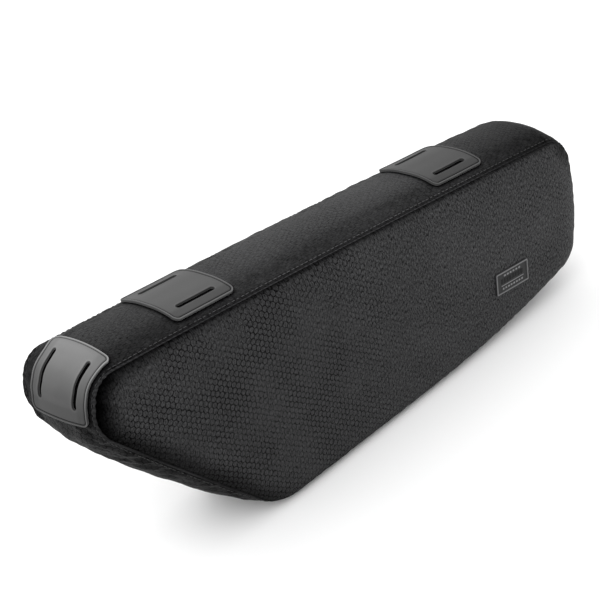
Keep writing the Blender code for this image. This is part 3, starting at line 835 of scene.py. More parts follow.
@dataclass
class GussetBand:
    """The padded band that joins the two panels, arched over the seams."""

    seam: SeamLine
    width: float = 54.2 * MM
    crown: float = 9.0 * MM
    wall: float = 3.0 * MM
    arch_root: float = 1.57
    stations: int = 880
    outer_columns: int = 61
    inner_columns: int = 13
    pucker_pitch: float = 6.5 * MM
    pucker_reach: float = 4.0 * MM
    valley: float = 6.5 * MM
    valley_width: float = 7.5 * MM
    crumple_size: float = 8 * MM
    crease_size: float = 22 * MM
    lump_size: float = 12 * MM
    shade_blotch_size: float = 7 * MM
    near_pucker: float = 0.6
    far_pucker: float = 0.2
    pad_shadow: float = 0.85

    def __post_init__(self) -> None:
        """Reads the arch's shape at the outline's points, and measures the band's middle for the pads."""
        self.half = self.width / 2
        arches = [(c.rise_of_crown * self.crown, c.flat_of_width) for c in CROWNS]
        self.arches = self.seam.table(CROWNS, arches)
        self.slack = self.seam.table(CROWNS, [(c.pucker_mm * MM, c.crease_mm * MM) for c in CROWNS])
        self.track = np.linspace(2.6, 0.1, 6000)
        middle = self.skin(self.track, np.zeros_like(self.track), np.zeros_like(self.track))
        run = np.concatenate([[0], np.cumsum(np.linalg.norm(np.diff(middle, axis=0), axis=1))])
        self.distances = run - np.interp(-1.0, -self.track, run)

    def arch(self, across: Array, flat: Array) -> Array:
        """Height of the arch as a share of its rise: (1 - share squared) to the power 1 / root."""
        share = np.clip((np.abs(across) / self.half - flat) / (1 - flat), 0, 1)
        return (1 - share**2) ** (1 / self.arch_root)

    def skin(self, places: Array, across: Array, lift: Array) -> Array:
        """Points at a height above the band's outer surface, measured square to it."""
        x, z = self.seam.columns(places, self.seam.points)
        normal_x, normal_z = self.seam.columns(places, self.seam.normals)
        rise, flat = self.seam.columns(places, self.arches)
        step = 1e-5
        slope = rise * (self.arch(across + step, flat) - self.arch(across - step, flat)) / (2 * step)
        tilt = np.sqrt(1 + slope**2)
        height = rise * self.arch(across, flat) + lift / tilt
        y = self.seam.middle_y + across - lift * slope / tilt
        return np.stack([x + normal_x * height, y, z + normal_z * height], axis=-1)

    def place_at(self, distance: Array) -> Array:
        """Place at a distance along the band's middle from the nose's top corner towards the rear."""
        return np.interp(distance, self.distances, self.track)

    def relief(self, places: Array, run: Array, across: Array, cover: Array) -> Array:
        """How far the cloth stands off the arch.

        Puckers are waves along the seam that fade away from it. Crumples lie in the valley beside it, and
        creases are ridged waves that slant across the whole band. All are held down under the pads.
        """
        pucker, crease = self.seam.columns(places, self.slack)
        from_seam = self.half - np.abs(across)
        lay = np.stack([run, across], axis=-1)
        along = np.stack([run, across * 0.25 + np.sign(across) * 0.05], axis=-1)
        fades = np.exp(-from_seam / self.pucker_reach) * ease(from_seam, -1 * MM, 2 * MM)
        strength = np.where(across > 0, self.far_pucker, self.near_pucker)
        puckers = ripple(along, self.pucker_pitch, seed=3) * fades * strength
        in_valley = np.exp(-(((from_seam - self.valley) / self.valley_width) ** 2))
        crumples = ripple(lay, self.crumple_size, seed=5) * in_valley * 0.55
        slanted = np.stack([run + across * 0.9, (across - run * 0.4) * 0.35], axis=-1)
        folds = 1 - 2 * np.abs(np.clip(ripple(slanted, self.crease_size, seed=8), -1.4, 1.4))
        lumps = (0.6 * folds + 0.4 * ripple(lay, self.lump_size, seed=6)) * ease(from_seam, 0, 3 * MM)
        return (pucker * (puckers + crumples) + crease * lumps) * (1 - cover)

    def make(self, pads: Sequence["StrapPad"]) -> Piece:
        """Lofts the wall round the outline as a loop of closed sections: outer face, end, inner face, end."""
        places, run = self.seam.stations(self.stations)
        angles = np.linspace(-math.pi / 2, math.pi / 2, self.outer_columns)
        outer = np.sin(angles) * self.half
        grid_places = np.repeat(places[:, None], len(outer), axis=1)
        grid_across = np.repeat(outer[None, :], len(places), axis=0)
        grid_run = np.repeat(run[:-1, None], len(outer), axis=1)
        cover = np.max([pad.cover(self, grid_places, grid_across) for pad in pads], axis=0)
        lift = self.relief(grid_places, grid_run, grid_across, cover)
        base = self.skin(grid_places, grid_across, np.zeros_like(lift))
        normals = grid_normals(base, (True, False))
        centre = self.seam.at(places, self.seam.points).mean(axis=0)
        facing = (base - np.array([centre[0], self.seam.middle_y, centre[1]])) * normals
        normals *= np.sign(facing.sum())
        shown = base + lift[..., None] * normals

        inner = np.linspace(1, -1, self.inner_columns) * (self.half - self.wall)
        rise, flat = self.seam.columns(places, self.arches)
        stretched = inner * self.half / (self.half - self.wall)
        inside_height = rise[:, None] * self.arch(stretched[None, :], flat[:, None]) - self.wall
        x, z = self.seam.columns(places, self.seam.points)
        normal_x, normal_z = self.seam.columns(places, self.seam.normals)

        def level(across: Array, height: Array) -> Array:
            """Points at heights over the seam outline."""
            across = np.broadcast_to(across, height.shape)
            return np.stack(
                [
                    x[:, None] + normal_x[:, None] * height,
                    self.seam.middle_y + across,
                    z[:, None] + normal_z[:, None] * height,
                ],
                axis=-1,
            )

        low = np.full((len(places), 1), -self.wall)
        rings = np.concatenate(
            [
                shown,
                level(np.array([self.half]), low),
                level(inner, inside_height),
                level(np.array([-self.half]), low),
            ],
            axis=1,
        )
        spread = np.linalg.norm(np.diff(rings, axis=1, append=rings[:, :1]), axis=-1).mean(axis=0)
        v = np.concatenate([[0], np.cumsum(spread)])
        v -= v[self.outer_columns // 2]
        whole = round(run[-1] / PANEL_CLOTH.pitch) * PANEL_CLOTH.pitch
        u = run * whole / run[-1]
        plane = np.stack(np.meshgrid(u, v, indexing="ij"), axis=-1)
        shade = np.ones(rings.shape[:2])
        # Painted shade on the outer face: shade at the seams and in the valleys, a painted shadow round the
        # pads, and the band's painted shade at each place.
        shade[:, : len(outer)] = self.tone(grid_run, grid_across) * (1 - self.pad_shadow * cover**2)
        shade *= self.seam.at(places, self.seam.hems)[:, 4:5]
        press = 0.4 + 0.3 * ease(self.seam.at(places, self.slack)[:, 1], 0.08 * MM, 0.3 * MM)
        surface = Surface()
        surface.add_grid(rings, (True, True), plane, shade=shade, press=press[:, None])
        cloth = dress(surface.make("gusset_band_cloth", BAND_CLOTH), "gusset_fabric", "gusset_band")
        return cloth

    def tone(self, run: Array, across: Array) -> Array:
        """Painted shade of the outer face: dark at the seams, blotched in their valleys and even on the
        ridge.
        """
        from_seam = self.half - np.abs(across)
        waves = ripple(np.stack([run, across * 0.8], axis=-1), self.shade_blotch_size, seed=12)
        shade_blotches = 0.5 + 0.5 * np.clip(waves, -1, 1)
        in_valley = np.exp(-(((from_seam - self.valley) / self.valley_width) ** 2))
        return (0.5 + 0.5 * ease(from_seam, 0.4 * MM, 3 * MM)) * (1 - in_valley * (0.34 + 0.16 * shade_blotches))


@dataclass
class SidePanel:
    """A moulded side: a rounded rim that rises from the seam to a slightly crowned middle."""

    seam: SeamLine
    band: GussetBand
    side: Side
    wall: float = 2.5 * MM
    bulge: float = 6.0 * MM
    rim: float = 18.0 * MM
    crown: float = 1.0 * MM
    gap: float = 0.3 * MM
    stations: int = 760
    rim_rings: int = 24
    field_rings: int = 22
    slit_length: float = 250.0 * MM
    slit_width: float = 7.0 * MM
    zip_drop: float = 32.0 * MM
    pinch: float = 1.2 * MM
    swell: float = 0.22 * MM
    swell_size: float = 70 * MM
    pucker: float = 0.14 * MM
    pucker_pitch: float = 7 * MM
    # Painted shade: a dark line in the seam's groove, and the cloth darker towards the nose.
    seam_painted_shade: float = 0.3
    nose_painted_shade: float = 0.86
    nose_fade: tuple[float, float] = (-0.17, 0.15)
    press_middle: tuple[float, float] = (-0.105, 0.04)
    press_reach: tuple[float, float] = (45 * MM, 180 * MM)
    press_fade: float = 0.62

    def __post_init__(self) -> None:
        """Finds the flat back of the rim, and the line that the middle closes on."""
        self.seat = self.band.half + self.gap
        rear, nose = self.seam.corners[:2]
        run = unit(nose - rear)
        middle = (rear + nose) / 2 + self.zip_drop * np.array((-run[1], run[0]))
        reach = self.slit_length / 2 - self.slit_width / 2
        self.zip_line = np.array([middle - reach * run, middle + reach * run])
        self.top_line = -run

    def closing(self) -> tuple[Array, float]:
        """The line that the rings close on and how far from it they stop: the zip's slit on the far side."""
        if self.side is Side.FAR:
            return self.zip_line, self.slit_width / 2
        return self.seam.spine(), self.pinch

    def section(self, places: Array, is_inner: bool) -> tuple[Array, Array, Array]:
        """Rings from the seam to the middle, on the outer face or on the inner one.

        The rim is a quarter of an ellipse, inset by width * (1 - cos) and raised by depth * sin. The middle
        goes in straight lines to the closing line, and rises by the crown in a smooth step.

        Args:
            places: where the rings have their points.
            is_inner: whether the rings lie on the inner face, a wall further in.

        Returns:
            Points in XZ, heights out from the rim's flat back, and distances from the seam.
        """
        start = self.wall if is_inner else 0.0
        depth = self.bulge - start
        rim_rings = 8 if is_inner else self.rim_rings
        field_rings = 6 if is_inner else self.field_rings
        angles = np.linspace(0, math.pi / 2, rim_rings)[:, None]
        outline = self.seam.at(places, self.seam.points)
        lean = self.seam.leaning(places)
        inset = start + (self.rim - start) * (1 - np.cos(angles))
        flat = outline + inset[..., None] * lean
        edge = flat[-1]
        line, radius = self.closing()
        on_line = self.seam.nearest(edge, line)
        goal = on_line + radius * unit(edge - on_line)
        share = np.linspace(0, 1, field_rings + 1)[1:, None]
        middle = edge + share[..., None] * (goal - edge)
        raised = depth + self.crown * ease(share, 0, 1)
        heights = np.concatenate([depth * np.sin(angles), raised]) * np.ones(len(places))
        inner_run = self.rim + share * np.linalg.norm(goal - edge, axis=-1)
        distances = np.concatenate([inset * np.ones(len(places)), inner_run])
        return np.concatenate([flat, middle]), heights, distances

    def relief(self, points: Array, run: Array, distances: Array) -> Array:
        """How far the moulded cloth stands off its form: slow swells, and puckers that fade from the seam."""
        lay = points[..., [0, 2]]
        swells = self.swell * ripple(lay, self.swell_size, seed=21 + self.side.value)
        swells *= ease(distances, 4 * MM, 30 * MM)
        along = np.stack([run * np.ones_like(distances), distances * 0.3], axis=-1)
        puckers = self.pucker * ripple(along, self.pucker_pitch, seed=31 + self.side.value)
        fade = np.exp(-distances / (4 * MM)) * ease(distances, 0, 1.0 * MM)
        return swells + puckers * fade

    def make(self, name: str, node: str) -> Piece:
        """Lofts both faces' rings into one closed wall, capped in the middle or open at the zip's slit."""
        places, run = self.seam.stations(self.stations)
        flats, heights, distances = self.section(places, is_inner=False)
        inner_flats, inner_heights, inner_distances = self.section(places, is_inner=True)
        sign = self.side.value

        def lifted(flat: Array, height: Array) -> Array:
            """Points in space from a place on the panel and a height out of it."""
            y = self.seam.middle_y + sign * (self.seat + height)
            return np.stack([flat[..., 0], y, flat[..., 1]], axis=-1)

        outer = lifted(flats, heights)
        normals = grid_normals(outer, (False, True))
        normals *= np.sign((normals[..., 1] * sign).sum())
        outer = outer + self.relief(outer, run[:-1], distances)[..., None] * normals
        inner = lifted(inner_flats, inner_heights)
        rings = np.concatenate([inner[::-1], outer])
        is_far = self.side is Side.FAR
        wrapped = np.concatenate([rings, rings[:, :1]], axis=1)
        if is_far:
            wrapped = np.concatenate([wrapped, wrapped[:1]])
        plane = self.flat_coordinates(wrapped)
        all_distances = np.concatenate([inner_distances[::-1], distances])
        # Painted shade on the panel: dark rims beside the seam, darker still in the seam's groove, and darker
        # towards the nose.
        _, _, rim_tone, rim_width, _ = self.seam.columns(places, self.seam.hems)
        shade = rim_tone + (1 - rim_tone) * ease(all_distances, 0.8 * MM, rim_width)
        shade = shade * (self.seam_painted_shade + (1 - self.seam_painted_shade) * ease(all_distances, 0.2 * MM, 1.3 * MM))
        shade = shade * (self.nose_painted_shade + (1 - self.nose_painted_shade) * ease(rings[..., 0], *self.nose_fade))
        away = np.linalg.norm(rings[..., [0, 2]] - np.array(self.press_middle), axis=-1)
        press = 1 - self.press_fade * ease(away, *self.press_reach)
        surface = Surface()
        first = surface.add_grid(rings, (is_far, True), plane, shade=shade, press=press)
        if not is_far:
            count = len(places)
            inner_cap = first + np.arange(count)[None, :]
            outer_cap = first + (len(rings) - 1) * count + np.arange(count)[None, ::-1]
            surface.add_faces(inner_cap, plane[0, :-1][None])
            surface.add_faces(outer_cap, plane[-1, :-1][::-1][None])
        cloth = dress(surface.make(name, PANEL_CLOTH), "moulded_fabric", node)
        return cloth

    def flat_coordinates(self, points: Array) -> Array:
        """Coordinates in metres along the bag's top line and square to it."""
        along = self.top_line
        upward = np.array([-along[1], along[0]])
        flat = points[..., [0, 2]]
        return np.stack([flat @ along, flat @ upward], axis=-1)


@dataclass
class StrapPad:
    """A moulded rubber pad with two strap slots, laid out flat and wrapped onto the band.

    The layout's first axis runs along the band towards the rear, and its second one across it.
    """

    name: str
    length: float
    width: float
    centre: float
    slot_length: float
    slot_spacing: float
    shift: float = 0.0
    thickness: float = 1.2 * MM
    corner: float = 3.5 * MM
    slot_width: float = 2.8 * MM
    clearance: float = 0.3 * MM
    lip_width: float = 0.8 * MM
    lip_rise: float = 0.35 * MM
    groove_depth: float = 0.35 * MM
    groove_place: float = 1.25 * MM
    groove_width: float = 0.3 * MM
    rim_place: float = 0.45 * MM
    rim_width: float = 0.35 * MM
    rim_rise: float = 0.12 * MM
    slot_drop: float = 0.15 * MM
    edge_drop: float = 0.25 * MM
    # Painted light on the rubber: highlights on the lip and the slots' rims, shade in the groove, the slots
    # and the flanks, the pad's overall lit or shaded level, and shade towards its front.
    lip_painted_highlight: float = 0.55
    groove_tone: float = 0.82
    rim_tone: float = 0.15
    slot_painted_shade: float = 0.6
    tone: float = 1.0
    flank_painted_shade: float = 0.8
    front_painted_shade: float = 1.0

    def edge_distance(self, a: Array, b: Array) -> Array:
        """Distance inside the rounded outline: negative outside it."""
        dx = np.abs(a) - (self.length / 2 - self.corner)
        dy = np.abs(b) - (self.width / 2 - self.corner)
        outside = np.hypot(np.maximum(dx, 0), np.maximum(dy, 0))
        return self.corner - outside - np.minimum(np.maximum(dx, dy), 0)

    def slot_distance(self, a: Array, b: Array) -> Array:
        """Distance from the nearer slot's edge: negative inside the slot."""
        reach = self.slot_length / 2 - self.slot_width / 2
        dx = np.maximum(np.abs(a) - reach, 0)
        dy = np.abs(np.abs(b) - self.slot_spacing / 2)
        return np.hypot(dx, dy) - self.slot_width / 2

    def cover(self, band: GussetBand, places: Array, across: Array) -> Array:
        """How firmly the pad holds the cloth down: 1 under it, fading to 0 over a few millimetres outside."""
        run = np.interp(-places, -band.track, band.distances, left=9.0, right=9.0)
        inside = self.edge_distance(run - self.centre, across - self.shift)
        return ease(inside, -3.0 * MM, -0.2 * MM)

    def lines(self, size: float, breaks: Sequence[float], fine: float, coarse: float) -> Array:
        """Grid lines from edge to edge: close together at the edges and breaks, and further apart between."""
        half = size / 2
        edge = np.array([0, 0.08, 0.2, 0.35, 0.55, 0.75, 0.92, 1.05, 1.2, 1.35, 1.55, 1.9, 2.6]) * MM
        found = [-half + edge, half - edge]
        for stop in breaks:
            found.append(stop + np.array([-1.2, -0.7, -0.3, 0, 0.3, 0.7, 1.2]) * fine)
        ends = np.unique(np.round(np.concatenate(found), 7))
        ends = ends[(ends >= -half) & (ends <= half)]
        filled = [ends]
        for low, high in zip(ends[:-1], ends[1:]):
            steps = int(math.ceil((high - low) / coarse))
            filled.append(np.linspace(low, high, steps + 1)[1:-1])
        return np.unique(np.round(np.concatenate(filled), 7))

    def layout(self) -> tuple[Array, Array, Array]:
        """The flat grid, with its corners and slot ends made round, and which cells have rubber.

        Returns:
            Positions along and across, and a mask of cells.
        """
        reach = self.slot_length / 2
        inner = self.slot_spacing / 2 - self.slot_width / 2
        outer = self.slot_spacing / 2 + self.slot_width / 2
        radius = self.slot_width / 2
        end_steps = [reach - radius * step for step in (0, 0.25, 0.5, 0.75, 1)]
        cross_steps = [self.slot_spacing / 2 + radius * step for step in (-1, -0.5, 0, 0.5, 1)]
        a_lines = self.lines(self.length, [s * x for x in end_steps for s in (-1, 1)], 0.6 * MM, 0.8 * MM)
        b_lines = self.lines(self.width, [s * x for x in cross_steps for s in (-1, 1)], 0.6 * MM, 0.9 * MM)
        a, b = np.meshgrid(a_lines, b_lines, indexing="ij")
        middle_a = (a_lines[:-1] + a_lines[1:]) / 2
        middle_b = (b_lines[:-1] + b_lines[1:]) / 2
        in_slot = (np.abs(middle_a) < reach)[:, None] & (
            (np.abs(middle_b) > inner) & (np.abs(middle_b) < outer)
        )[None, :]

        moved_a, moved_b = round_corners(a, b, (self.length, self.width), self.corner)
        p = (np.abs(a) - (reach - radius)) / radius
        q = (np.abs(b) - self.slot_spacing / 2) / radius
        near_p, near_q = np.clip(p, 0, 1), np.clip(q, -1, 1)
        round_p, round_q = rounded(near_p, near_q)
        away = np.hypot(np.maximum(p - 1, 0), np.maximum(np.abs(q) - 1, 0))
        fade = np.where(p > 0, 1 - ease(away, 0.0, 1.2), 0.0)
        moved_a = moved_a + np.sign(a) * fade * (round_p - near_p) * radius
        moved_b = moved_b + np.sign(b) * fade * (round_q - near_q) * radius
        return moved_a, moved_b, ~in_slot

    def height(self, a: Array, b: Array) -> tuple[Array, Array]:
        """Height of the rubber's face over its nominal one, and its painted shade and highlights.

        A half-round lip runs along the edge, with a groove inside it, and each slot has a soft raised rim.
        """
        inside = self.edge_distance(a, b)
        lip = np.sqrt(np.clip(1 - ((inside - self.lip_width / 2) / (self.lip_width / 2)) ** 2, 0, 1))
        groove = np.exp(-(((inside - self.groove_place) / self.groove_width) ** 2))
        from_slot = self.slot_distance(a, b)
        rim = np.exp(-(((from_slot - self.rim_place) / self.rim_width) ** 2))
        drop = 1 - ease(from_slot, 0, 0.3 * MM)
        height = self.lip_rise * lip - self.groove_depth * groove + self.rim_rise * rim
        height -= self.slot_drop * drop
        height -= (1 - ease(inside, 0, 0.25 * MM)) * self.edge_drop
        # Painted light: highlights on the lip and the slots' rims, shade in the groove, the slots and the
        # flanks, all times the pad's lit or shaded level, deeper towards its front.
        shade = 1 + self.lip_painted_highlight * lip - self.groove_tone * groove + self.rim_tone * rim
        shade -= self.slot_painted_shade * drop
        from_middle = np.abs(b) - (self.slot_spacing + self.slot_width) / 2
        shade *= 1 - (1 - self.flank_painted_shade) * ease(from_middle, -1 * MM, 1.5 * MM) * (1 - lip)
        rearward = ease(a, -self.length / 2, self.length / 2)
        shade *= self.tone * (self.front_painted_shade + (1 - self.front_painted_shade) * rearward)
        return height, shade

    def make(self, band: GussetBand) -> Piece:
        """Wraps the layout's top and bottom onto the band, with walls round the edge and the slots."""
        a, b, has_rubber = self.layout()
        height, shade = self.height(a, b)
        places = band.place_at(self.centre + a)
        across = b + self.shift
        top = band.skin(places, across, self.clearance + self.thickness + height)
        bottom = band.skin(places, across, np.full_like(a, self.clearance))
        rows, columns = a.shape
        surface = Surface()
        first_top = surface.add_grid(top, keep=has_rubber, shade=shade)
        # The underside gets a painted shade.
        first_bottom = surface.add_points(bottom, shade=np.full_like(shade, 0.6))
        index = np.arange(rows * columns).reshape(rows, columns)
        corners = np.stack([index[:-1, :-1], index[:-1, 1:], index[1:, 1:], index[1:, :-1]], axis=-1)
        surface.add_faces(corners[has_rubber] + first_bottom)
        surface.add_faces(self.walls(index, has_rubber, first_top, first_bottom))
        return dress(surface.make(self.name + "_rubber", PAD_RUBBER, 60), "pad_rubber", self.name)

    def walls(self, index: Array, has_rubber: Array, first_top: int, first_bottom: int) -> Array:
        """Upright faces on every grid edge that has rubber on one side only."""
        padded = np.pad(has_rubber, 1)
        found = []
        before, after = padded[:-1, 1:-1], padded[1:, 1:-1]
        for is_edge, flip in ((after & ~before, False), (before & ~after, True)):
            row, column = np.nonzero(is_edge)
            pair = (index[row, column], index[row, column + 1])
            found.append(pair[::-1] if flip else pair)
        before, after = padded[1:-1, :-1], padded[1:-1, 1:]
        for is_edge, flip in ((after & ~before, True), (before & ~after, False)):
            row, column = np.nonzero(is_edge)
            pair = (index[row, column], index[row + 1, column])
            found.append(pair[::-1] if flip else pair)
        start = np.concatenate([pair[0] for pair in found])
        end = np.concatenate([pair[1] for pair in found])
        return np.stack(
            [start + first_bottom, end + first_bottom, end + first_top, start + first_top], axis=-1
        )


@dataclass
class SeamBinding:
    """The narrow bound hem that stands up along a seam, gathered by its stitches."""

    band: GussetBand
    side: Side
    slackness: float = 1.0
    rise: float = 0.25 * MM
    pitch: float = 4.2 * MM
    stations: int = 1400
    sides: int = 10

    def centre(self, places: Array) -> Array:
        """Points of the hem's middle line, on the seam and a little above the outline."""
        edge = np.full(len(places), self.side.value * self.band.half)
        return self.band.skin(places, edge, np.zeros(len(places))) + self.out(places) * self.rise

    def out(self, places: Array) -> Array:
        """Unit vectors out of the outline, in its own plane."""
        normal = self.band.seam.at(places, self.band.seam.normals)
        return np.stack([normal[:, 0], np.zeros(len(normal)), normal[:, 1]], axis=-1)

    def make(self, name: str) -> Piece:
        """Carries an oval profile along the seam: its radius swells and shrinks with the stitches."""
        seam = self.band.seam
        places, run = seam.stations(self.stations)
        centre = self.centre(places)
        out = self.out(places)
        radius, gather, _, _, tone = seam.columns(places, seam.hems)
        waves = ripple(run[:-1, None], self.pitch, seed=51)
        radius = radius * (1 + gather * self.slackness * waves)
        turn = np.linspace(0, 2 * math.pi, self.sides, endpoint=False)
        y = np.array([0, 1, 0])
        rings = (
            centre[:, None]
            + radius[:, None, None] * np.cos(turn)[None, :, None] * out[:, None]
            + 0.75 * radius[:, None, None] * np.sin(turn)[None, :, None] * y
        )
        surface = Surface()
        # The hem's shade is the band's painted shade at each place.
        surface.add_grid(rings, (True, True), shade=tone[:, None])
        return dress(surface.make(name, BINDING_CLOTH), "gusset_fabric")


def stitches(
    surface: Surface,
    centres: Array,
    along: Array,
    out: Array,
    length: float,
    radius: float,
    tone: Optional[Array] = None,
    rings: int = 6,
) -> None:
    """Adds a stitch at each centre: a short thread whose ends dive into the cloth.

    Its radius is sqrt(1 - t ** 4) of the full one, and its height falls by the radius times 1.4 * t squared,
    with t from -1 at one end to 1 at the other.

    Args:
        surface: what the stitches are added to.
        centres: the middle of each stitch.
        along: its unit direction.
        out: the unit direction out of the cloth.
        length: its whole length.
        radius: the thread's radius.
        tone: the painted shade of each stitch, or nothing where all have their full tone.
        rings: how many rings of points a stitch has.
    """
    t = np.linspace(-1, 1, rings) * 0.96
    turn = np.linspace(0, 2 * math.pi, 6, endpoint=False)
    across = np.cross(along, out)
    width = radius * np.sqrt(1 - t**4)
    line = centres[:, None] + along[:, None] * (t * length / 2)[None, :, None]
    line = line - out[:, None] * (1.4 * radius * t**2)[None, :, None]
    points = (
        line[:, :, None]
        + (np.cos(turn)[None, :] * width[:, None])[None, ..., None] * out[:, None, None]
        + (np.sin(turn)[None, :] * width[:, None])[None, ..., None] * across[:, None, None]
    )
    count = len(centres)
    shade = np.ones(count) if tone is None else tone
    first = surface.add_points(points, shade=shade[:, None, None])
    index = first + np.arange(count * rings * 6).reshape(count, rings, 6)
    around = np.roll(index, -1, axis=2)
    faces = np.stack([index[:, :-1], around[:, :-1], around[:, 1:], index[:, 1:]], axis=-1)
    surface.add_faces(faces.reshape(-1, 4))
    surface.add_faces(index[:, 0, ::-1])
    surface.add_faces(index[:, -1])


@dataclass
class SeamStitching:
    """The row of stitches on the band, beside each seam."""

    band: GussetBand
    side: Side
    pitch: float = 3.4 * MM
    length: float = 2.8 * MM
    radius: float = 0.2 * MM
    from_seam: float = 1.2 * MM

    def make(self, name: str) -> Piece:
        """Sets a stitch at every pitch round the outline, lying on the band."""
        seam = self.band.seam
        count = round(seam.runs[-1] / self.pitch)
        places, _ = seam.stations(count)
        across = np.full(count, self.side.value * (self.band.half - self.from_seam))
        lift = np.full(count, 0.15 * MM)
        centres = self.band.skin(places, across, lift)
        out = unit(self.band.skin(places, across, lift + 1 * MM) - centres)
        ahead, behind = (self.band.skin(places + step, across, lift) for step in (0.002, -0.002))
        along = unit(ahead - behind)
        # The stitches get the band's painted shade, squared.
        tone = seam.at(places, seam.hems)[:, 4] ** 2
        surface = Surface()
        stitches(surface, centres, along, out, self.length, self.radius, tone)
        return dress(surface.make(name, THREAD, 80), "gusset_fabric")


@dataclass
class PanelFrame:
    """A flat layout on a side panel: X along the top line to the right, Y up the panel and Z out of it."""

    panel: SidePanel
    point: Array
    height: float = 0.0

    def place(self, flat: Array) -> Array:
        """Points in space from points of the layout."""
        sign = self.panel.side.value
        line = self.panel.top_line * -sign
        along = np.array([line[0], 0, line[1]])
        out = np.array([0, sign, 0])
        up = np.cross(out, along)
        face = self.panel.seam.middle_y + sign * (self.panel.seat + self.panel.bulge + self.height)
        origin = np.array([self.point[0], face, self.point[1]])
        return origin + flat[..., :1] * along + flat[..., 1:2] * up + flat[..., 2:] * out


@dataclass
class LabelPatch:
    """A small moulded rubber label with a raised border, and plain rows of bars in its field."""

    panel: SidePanel
    length: float = 29.6 * MM
    height: float = 13.7 * MM
    thickness: float = 1.2 * MM
    border: float = 1.2 * MM
    recess: float = 0.5 * MM
    corner: float = 0.8 * MM
    cell: float = 0.16 * MM
    mark_rise: float = 0.42 * MM
    # Painted light on the face: a shadow over the recessed field and a highlight along the border's crest.
    field_shadow: float = 0.35
    crest_painted_highlight: float = 2.8
    mark_tone: float = 3.6
    heavy_shadow: float = 0.3

    def relief(self, x: Array, y: Array) -> Array:
        """The face's height under the border: the field is recessed, and the bars stand in it."""
        inside = np.minimum(self.length / 2 - np.abs(x), self.height / 2 - np.abs(y))
        field_drop = -self.recess * ease(inside, self.border - 0.1 * MM, self.border + 0.25 * MM)
        edge_drop = -0.2 * MM * (1 - ease(inside, 0, 0.25 * MM))
        return field_drop + edge_drop + self.mark_rise * np.maximum(self.marks(x, y), self.heavy(x, y))

    def heavy(self, x: Array, y: Array) -> Array:
        """The middle row of wide dark bars."""
        return self.bars(x, y, 0.7 * MM, 3.0 * MM, 2.6 * MM, 0.7, 10.4 * MM)

    def marks(self, x: Array, y: Array) -> Array:
        """The short light marks above and below the middle row, and the thin light line under it."""
        above = self.bars(x, y, 4.0 * MM, 1.1 * MM, 2.7 * MM, 0.6, 8.2 * MM)
        below = self.bars(x, y, -4.0 * MM, 1.1 * MM, 2.5 * MM, 0.6, 9.4 * MM)
        line = self.bars(x, y, -2.0 * MM, 0.5 * MM, 21 * MM, 1.2, 10.4 * MM)
        return np.max([above, below, line], axis=0)

    def tone(self, x: Array, y: Array) -> Array:
        """Shade of the face: a thin painted highlight on the border's crest, light marks, and a painted
        shadow over the field round them.
        """
        inside = np.minimum(self.length / 2 - np.abs(x), self.height / 2 - np.abs(y))
        crest = np.exp(-(((inside - 0.55 * MM) / (0.32 * MM)) ** 2))
        field_tone = 1 - self.field_shadow * ease(inside, self.border, self.border + 0.3 * MM)
        light = self.crest_painted_highlight * crest + self.mark_tone * self.marks(x, y)
        return field_tone + light - self.heavy_shadow * self.heavy(x, y)

    def bars(
        self, x: Array, y: Array, middle: float, tall: float, pitch: float, share: float, reach: float
    ) -> Array:
        """A row of upright bars: 1 on a bar and 0 between them.

        Args:
            x: places along the label.
            y: places up the label.
            middle: the row's height on the label.
            tall: how tall the bars are.
            pitch: how far apart they stand.
            share: how much of the pitch a bar takes.
            reach: how far the row goes from the label's middle.

        Returns:
            The share of the bars' height at each place.
        """
        from_bar = np.abs((x / pitch) % 1 - 0.5) * pitch
        on_bar = 1 - ease(from_bar, share * pitch / 2 - 0.1 * MM, share * pitch / 2 + 0.12 * MM)
        in_row = 1 - ease(np.abs(y - middle), tall / 2 - 0.1 * MM, tall / 2 + 0.12 * MM)
        return on_bar * in_row * (np.abs(x) < reach)

    def make(self) -> Piece:
        """A grid whose outer ring goes down to the back, so that the patch is one closed body."""
        seam = self.panel.seam
        point = seam.zero + np.array(seam.label_place) * (seam.length, seam.height)
        frame = PanelFrame(self.panel, point, self.panel.gap)
        x_lines = np.linspace(-self.length / 2, self.length / 2, round(self.length / self.cell) + 1)
        y_lines = np.linspace(-self.height / 2, self.height / 2, round(self.height / self.cell) + 1)
        x, y = np.meshgrid(x_lines, y_lines, indexing="ij")
        relief, shade = self.relief(x, y), self.tone(x, y)
        x, y = round_corners(x, y, (self.length, self.height), self.corner)
        top = frame.place(np.stack([x, y, self.thickness + relief], axis=-1))
        rows, columns = x.shape
        surface = Surface()
        first = surface.add_grid(top, shade=shade)
        ring = np.concatenate(
            [
                np.arange(columns),
                np.arange(1, rows) * columns + columns - 1,
                (rows - 1) * columns + np.arange(columns - 2, -1, -1),
                np.arange(rows - 2, 0, -1) * columns,
            ]
        )
        flat = np.stack([x.reshape(-1)[ring], y.reshape(-1)[ring], np.zeros(len(ring))], axis=-1)
        back = surface.add_points(frame.place(flat), shade=np.ones(len(ring)))
        low = back + np.arange(len(ring))
        high = first + ring
        surface.add_faces(np.stack([low, np.roll(low, -1), np.roll(high, -1), high], axis=-1))
        surface.add_faces(low[None, ::-1])
        return dress(surface.make("label_patch_rubber", LABEL_RUBBER, 60), "label_rubber", "label_patch")


